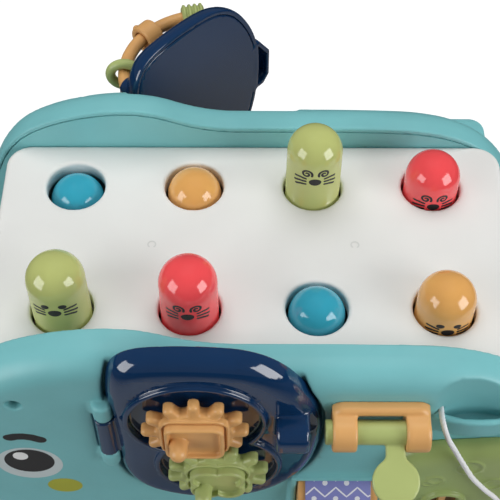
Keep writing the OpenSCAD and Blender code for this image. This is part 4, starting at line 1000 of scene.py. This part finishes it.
def mole_profile(crown):
    """Stem, flanged foot and domed body, from below."""
    foot = crown - MOLE_LENGTH
    stem = foot - STEM_DROP
    flange = foot + FOOT_H
    return [(0, stem), *arc((STEM_R - STEM_EDGE, stem + STEM_EDGE), STEM_EDGE, 270, 360, 4),
            (STEM_R, foot), (FOOT_R - FOOT_EDGE, foot), (FOOT_R, foot + FOOT_EDGE),
            (FOOT_R, flange - FOOT_EDGE), (FOOT_R - FOOT_EDGE, flange), (MOLE_R, flange),
            *arc((0, crown - MOLE_R), MOLE_R, 0, DOME_TURN, DOME_STEPS), (0, crown)]


def mole_surface(x, y, crown):
    """Places on a mole's front, for its face."""
    def surface(at):
        z = crown - NOSE_DROP + at[:, 1]
        turn = at[:, 0] / MOLE_R
        above = np.maximum(z - (crown - MOLE_R), 0)
        r = np.sqrt(MOLE_R ** 2 - above ** 2)
        normal = columns(r * np.sin(turn), -r * np.cos(turn), above) / MOLE_R
        return columns(x + r * np.sin(turn), y - r * np.cos(turn), z), normal

    return surface


def make_moles(paints):
    for row, rises, y in (("front", FRONT_RISE, -ROW_HALF), ("rear", REAR_RISE, ROW_HALF)):
        for column, rise in enumerate(rises):
            x = (column - 1.5) * HOLE_PITCH
            crown = DECK + rise
            name = f"mole_{row}_{column + 1}"
            paint = MOLE_PAINTS[row][column]
            place = np.eye(3), np.array([x, y, 0.0])
            mesh = lathe(f"{name}_cap", mole_profile(crown), place, MOLE_SEGMENTS)
            add_piece(mesh, name, paints[paint], name)
            shapes = face_shapes((row, column) in SPIRAL_EYED)
            face = decal(f"{name}_face", shapes, mole_surface(x, y, crown), PRINT_LIFT)
            add_piece(face, name, paints["ink"])


# Bead rod and rings
GREEN_RING_AT, ORANGE_RING_AT, RIBBED_RING_AT = -43.0, -1.0, 37.0
BEAD_HOLE_R, BEAD_HANG, BEAD_ROOM, BEAD_VOXEL = 4.6, 1.2, 12.0, 0.34
ROD_ROOT = 88.9
ROD_GRID = (ROD_MID - 38, 88, ROD_Z - 4), (ROD_MID + 38, 111, ROD_Z + 4), 0.4
GREEN_RING_OUT, GREEN_RING_R = 2.9, 2.6
RING_WALL_HALF, ORANGE_RING_HALF, KNOB_OUT, KNOB_R = 1.5, 5.0, 3.6, 2.2
RIB_PITCH, RIB_HALF, RIB_OUT, RIBBED_WALL, RIBBED_HALF = 3.0, 0.8, 3.2, 2.0, 6.0


def rod_field(g):
    radius = np.hypot(g.x - ROD_MID, g.s - ROD_CENTRE)
    f = np.hypot(radius - ROD_CIRCLE, g.z - ROD_Z) - ROD_R
    return np.maximum(f, ROD_ROOT - g.s)


def rod_point(angle):
    """Where the rod's middle line is, at an angle round its circle."""
    a = math.radians(angle)
    return ROD_MID + ROD_CIRCLE * math.sin(a), ROD_CENTRE + ROD_CIRCLE * math.cos(a)


def on_rod(g, angle):
    """Places along the rod's tangent, out from its circle and up, for a bead at an angle."""
    a = math.radians(angle)
    middle = rod_point(angle)
    x, s = g.x - middle[0], g.s - middle[1]
    return x * math.cos(a) - s * math.sin(a), x * math.sin(a) + s * math.cos(a), g.z - (ROD_Z - BEAD_HANG)


def green_ring_field(g):
    along, out, up = on_rod(g, GREEN_RING_AT)
    return np.hypot(np.hypot(out, up) - BEAD_HOLE_R - GREEN_RING_OUT, along) - GREEN_RING_R


def orange_ring_field(g):
    along, out, up = on_rod(g, ORANGE_RING_AT)
    wall = np.abs(np.hypot(out, up) - BEAD_HOLE_R - RING_WALL_HALF) - RING_WALL_HALF
    f = rounded(wall, np.abs(along) - ORANGE_RING_HALF, r=1.2)
    knob = np.sqrt((out - BEAD_HOLE_R - KNOB_OUT) ** 2 + up ** 2 + along ** 2) - KNOB_R
    return join(f, knob, r=0.8)


def ribbed_ring_field(g):
    along, out, up = on_rod(g, RIBBED_RING_AT)
    wall = np.hypot(out, up) - BEAD_HOLE_R
    rib = np.abs(np.mod(along, RIB_PITCH) - RIB_PITCH / 2) - RIB_HALF
    outer = join(wall - RIBBED_WALL, rounded(wall - RIB_OUT, rib, r=0.6), r=0.5)
    return rounded(np.maximum(outer, -wall), np.abs(along) - RIBBED_HALF, r=0.6)


RINGS = (("green_ring", GREEN_RING_AT, green_ring_field, "green"),
         ("orange_ring", ORANGE_RING_AT, orange_ring_field, "orange"),
         ("ribbed_ring", RIBBED_RING_AT, ribbed_ring_field, "green"))


def make_beads(paints):
    g = Grid(*ROD_GRID)
    add_piece(skin("bead_wire", g, rod_field(g), REAR_EAR), "rear_ear", paints["orange"], "bead_rod")
    for name, angle, field, paint in RINGS:
        middle = np.array([*rod_point(angle), ROD_Z])
        g = Grid(middle - BEAD_ROOM, middle + BEAD_ROOM, BEAD_VOXEL)
        add_piece(skin(f"{name}_bead", g, field(g), REAR_EAR), name, paints[paint], name)


# Hammer and cord
HEAD_EDGE, HEAD_GROOVES, HEAD_GROOVE_R = 3.5, (17.0, 20.5), 0.9
HEAD_GRID = (-HEAD_R, -HEAD_HALF, -HEAD_R), (HEAD_R, HEAD_HALF, HEAD_R), 0.5


def hammer_place():
    tilt = math.asin((2 * HEAD_R - HANDLE_T) / 2 / HANDLE_LENGTH)
    return np.array(Matrix.Rotation(tilt, 3, "Y")), np.array([*HAMMER_AT, HEAD_R])


def make_hammer(paints):
    g = Grid(*HEAD_GRID)
    radius = np.hypot(g.x, g.z)
    head = rounded(radius - HEAD_R, np.abs(g.s) - HEAD_HALF, r=HEAD_EDGE)
    for groove in HEAD_GROOVES:
        head = cut(head, np.hypot(radius - HEAD_R, np.abs(g.s) - groove) - HEAD_GROOVE_R, r=0.5)
    add_piece(skin("mallet_head", g, head, hammer_place()), "hammer", paints["orange"], "hammer_head")


CORD_STEPS, CORD_SIDES, CORD_LAY = 14, 20, 4.2
CORD_STRANDS, CORD_LOBE = 3, 0.07
CORD_FIRST_SIDE = (0.3, 0.2, 1.0)


def cord_line():
    """The source's route, finer: a Hermite curve through its points."""
    p = np.array(CORD_ROUTE, float)
    slope = np.empty_like(p)
    slope[1:-1] = (p[2:] - p[:-2]) / 2
    slope[0], slope[-1] = (p[1] - p[0]) / 2, (p[-1] - p[-2]) / 2
    t = (np.arange(CORD_STEPS) / CORD_STEPS)[None, :, None]
    u = 1 - t
    fine = (u * u * (1 + 2 * t) * p[:-1, None] + t * t * (3 - 2 * t) * p[1:, None]
            + t * u * u * slope[:-1, None] - t * t * u * slope[1:, None])
    return np.concatenate([fine.reshape(-1, 3), p[-1:]])


def make_cord(paints):
    line = cord_line()
    way = unit(np.gradient(line, axis=0))
    length = lengths_along(line)
    side = np.cross(way[0], CORD_FIRST_SIDE)
    rings = []
    turn = full_turn(CORD_SIDES)
    for at, along, run in zip(line, way, length):
        side = unit(side - along * (side @ along))
        other = np.cross(along, side)
        twist = turn - 2 * math.pi * run / CORD_LAY
        r = CORD_D / 2 * (1 - CORD_LOBE + CORD_LOBE * np.cos(CORD_STRANDS * twist))
        rings.append(at + np.outer(r * np.cos(turn), side) + np.outer(r * np.sin(turn), other))
    points = np.concatenate(rings + [line[:1], line[-1:]])
    mesh = build_mesh("tether", points, tube_faces(len(line), CORD_SIDES))
    tether = add_piece(mesh, None, paints["cord"], "cord")
    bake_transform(tether)


# CAD nodes that keep their shape
NODE_PAINTS = {
    "white": ("base_tray", "lever_1", "lever_2", "lever_3", "lever_4"),
    "teal": ("front_side_cover", "rear_side_cover", "hammer_handle"),
    "steel": ("base_screws", "lever_shaft", "front_side_screws", "rear_side_screws", "front_hinge_pin",
              "rear_hinge_pin", "orange_gear_axle", "green_gear_axle", "roller_axle"),
    "brown": ("hill_door",),
    "orange": ("hill_door_bar",),
}


def paint_nodes(paints):
    for paint, names in NODE_PAINTS.items():
        for name in names:
            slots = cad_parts[name].data.materials
            slots.clear()
            slots.append(paints[paint])


def main():
    bpy.context.scene.view_settings.view_transform = "Standard"
    make_camera()
    make_lights()
    make_world()
    make_floor()
    paints = make_materials()
    for make in (make_cord, make_hammer, make_deck, make_deck_marks, make_moles, make_sides, make_eyes,
                 make_ears, make_gears, make_fittings, make_hill, make_beads, paint_nodes):
        make(paints)


main()
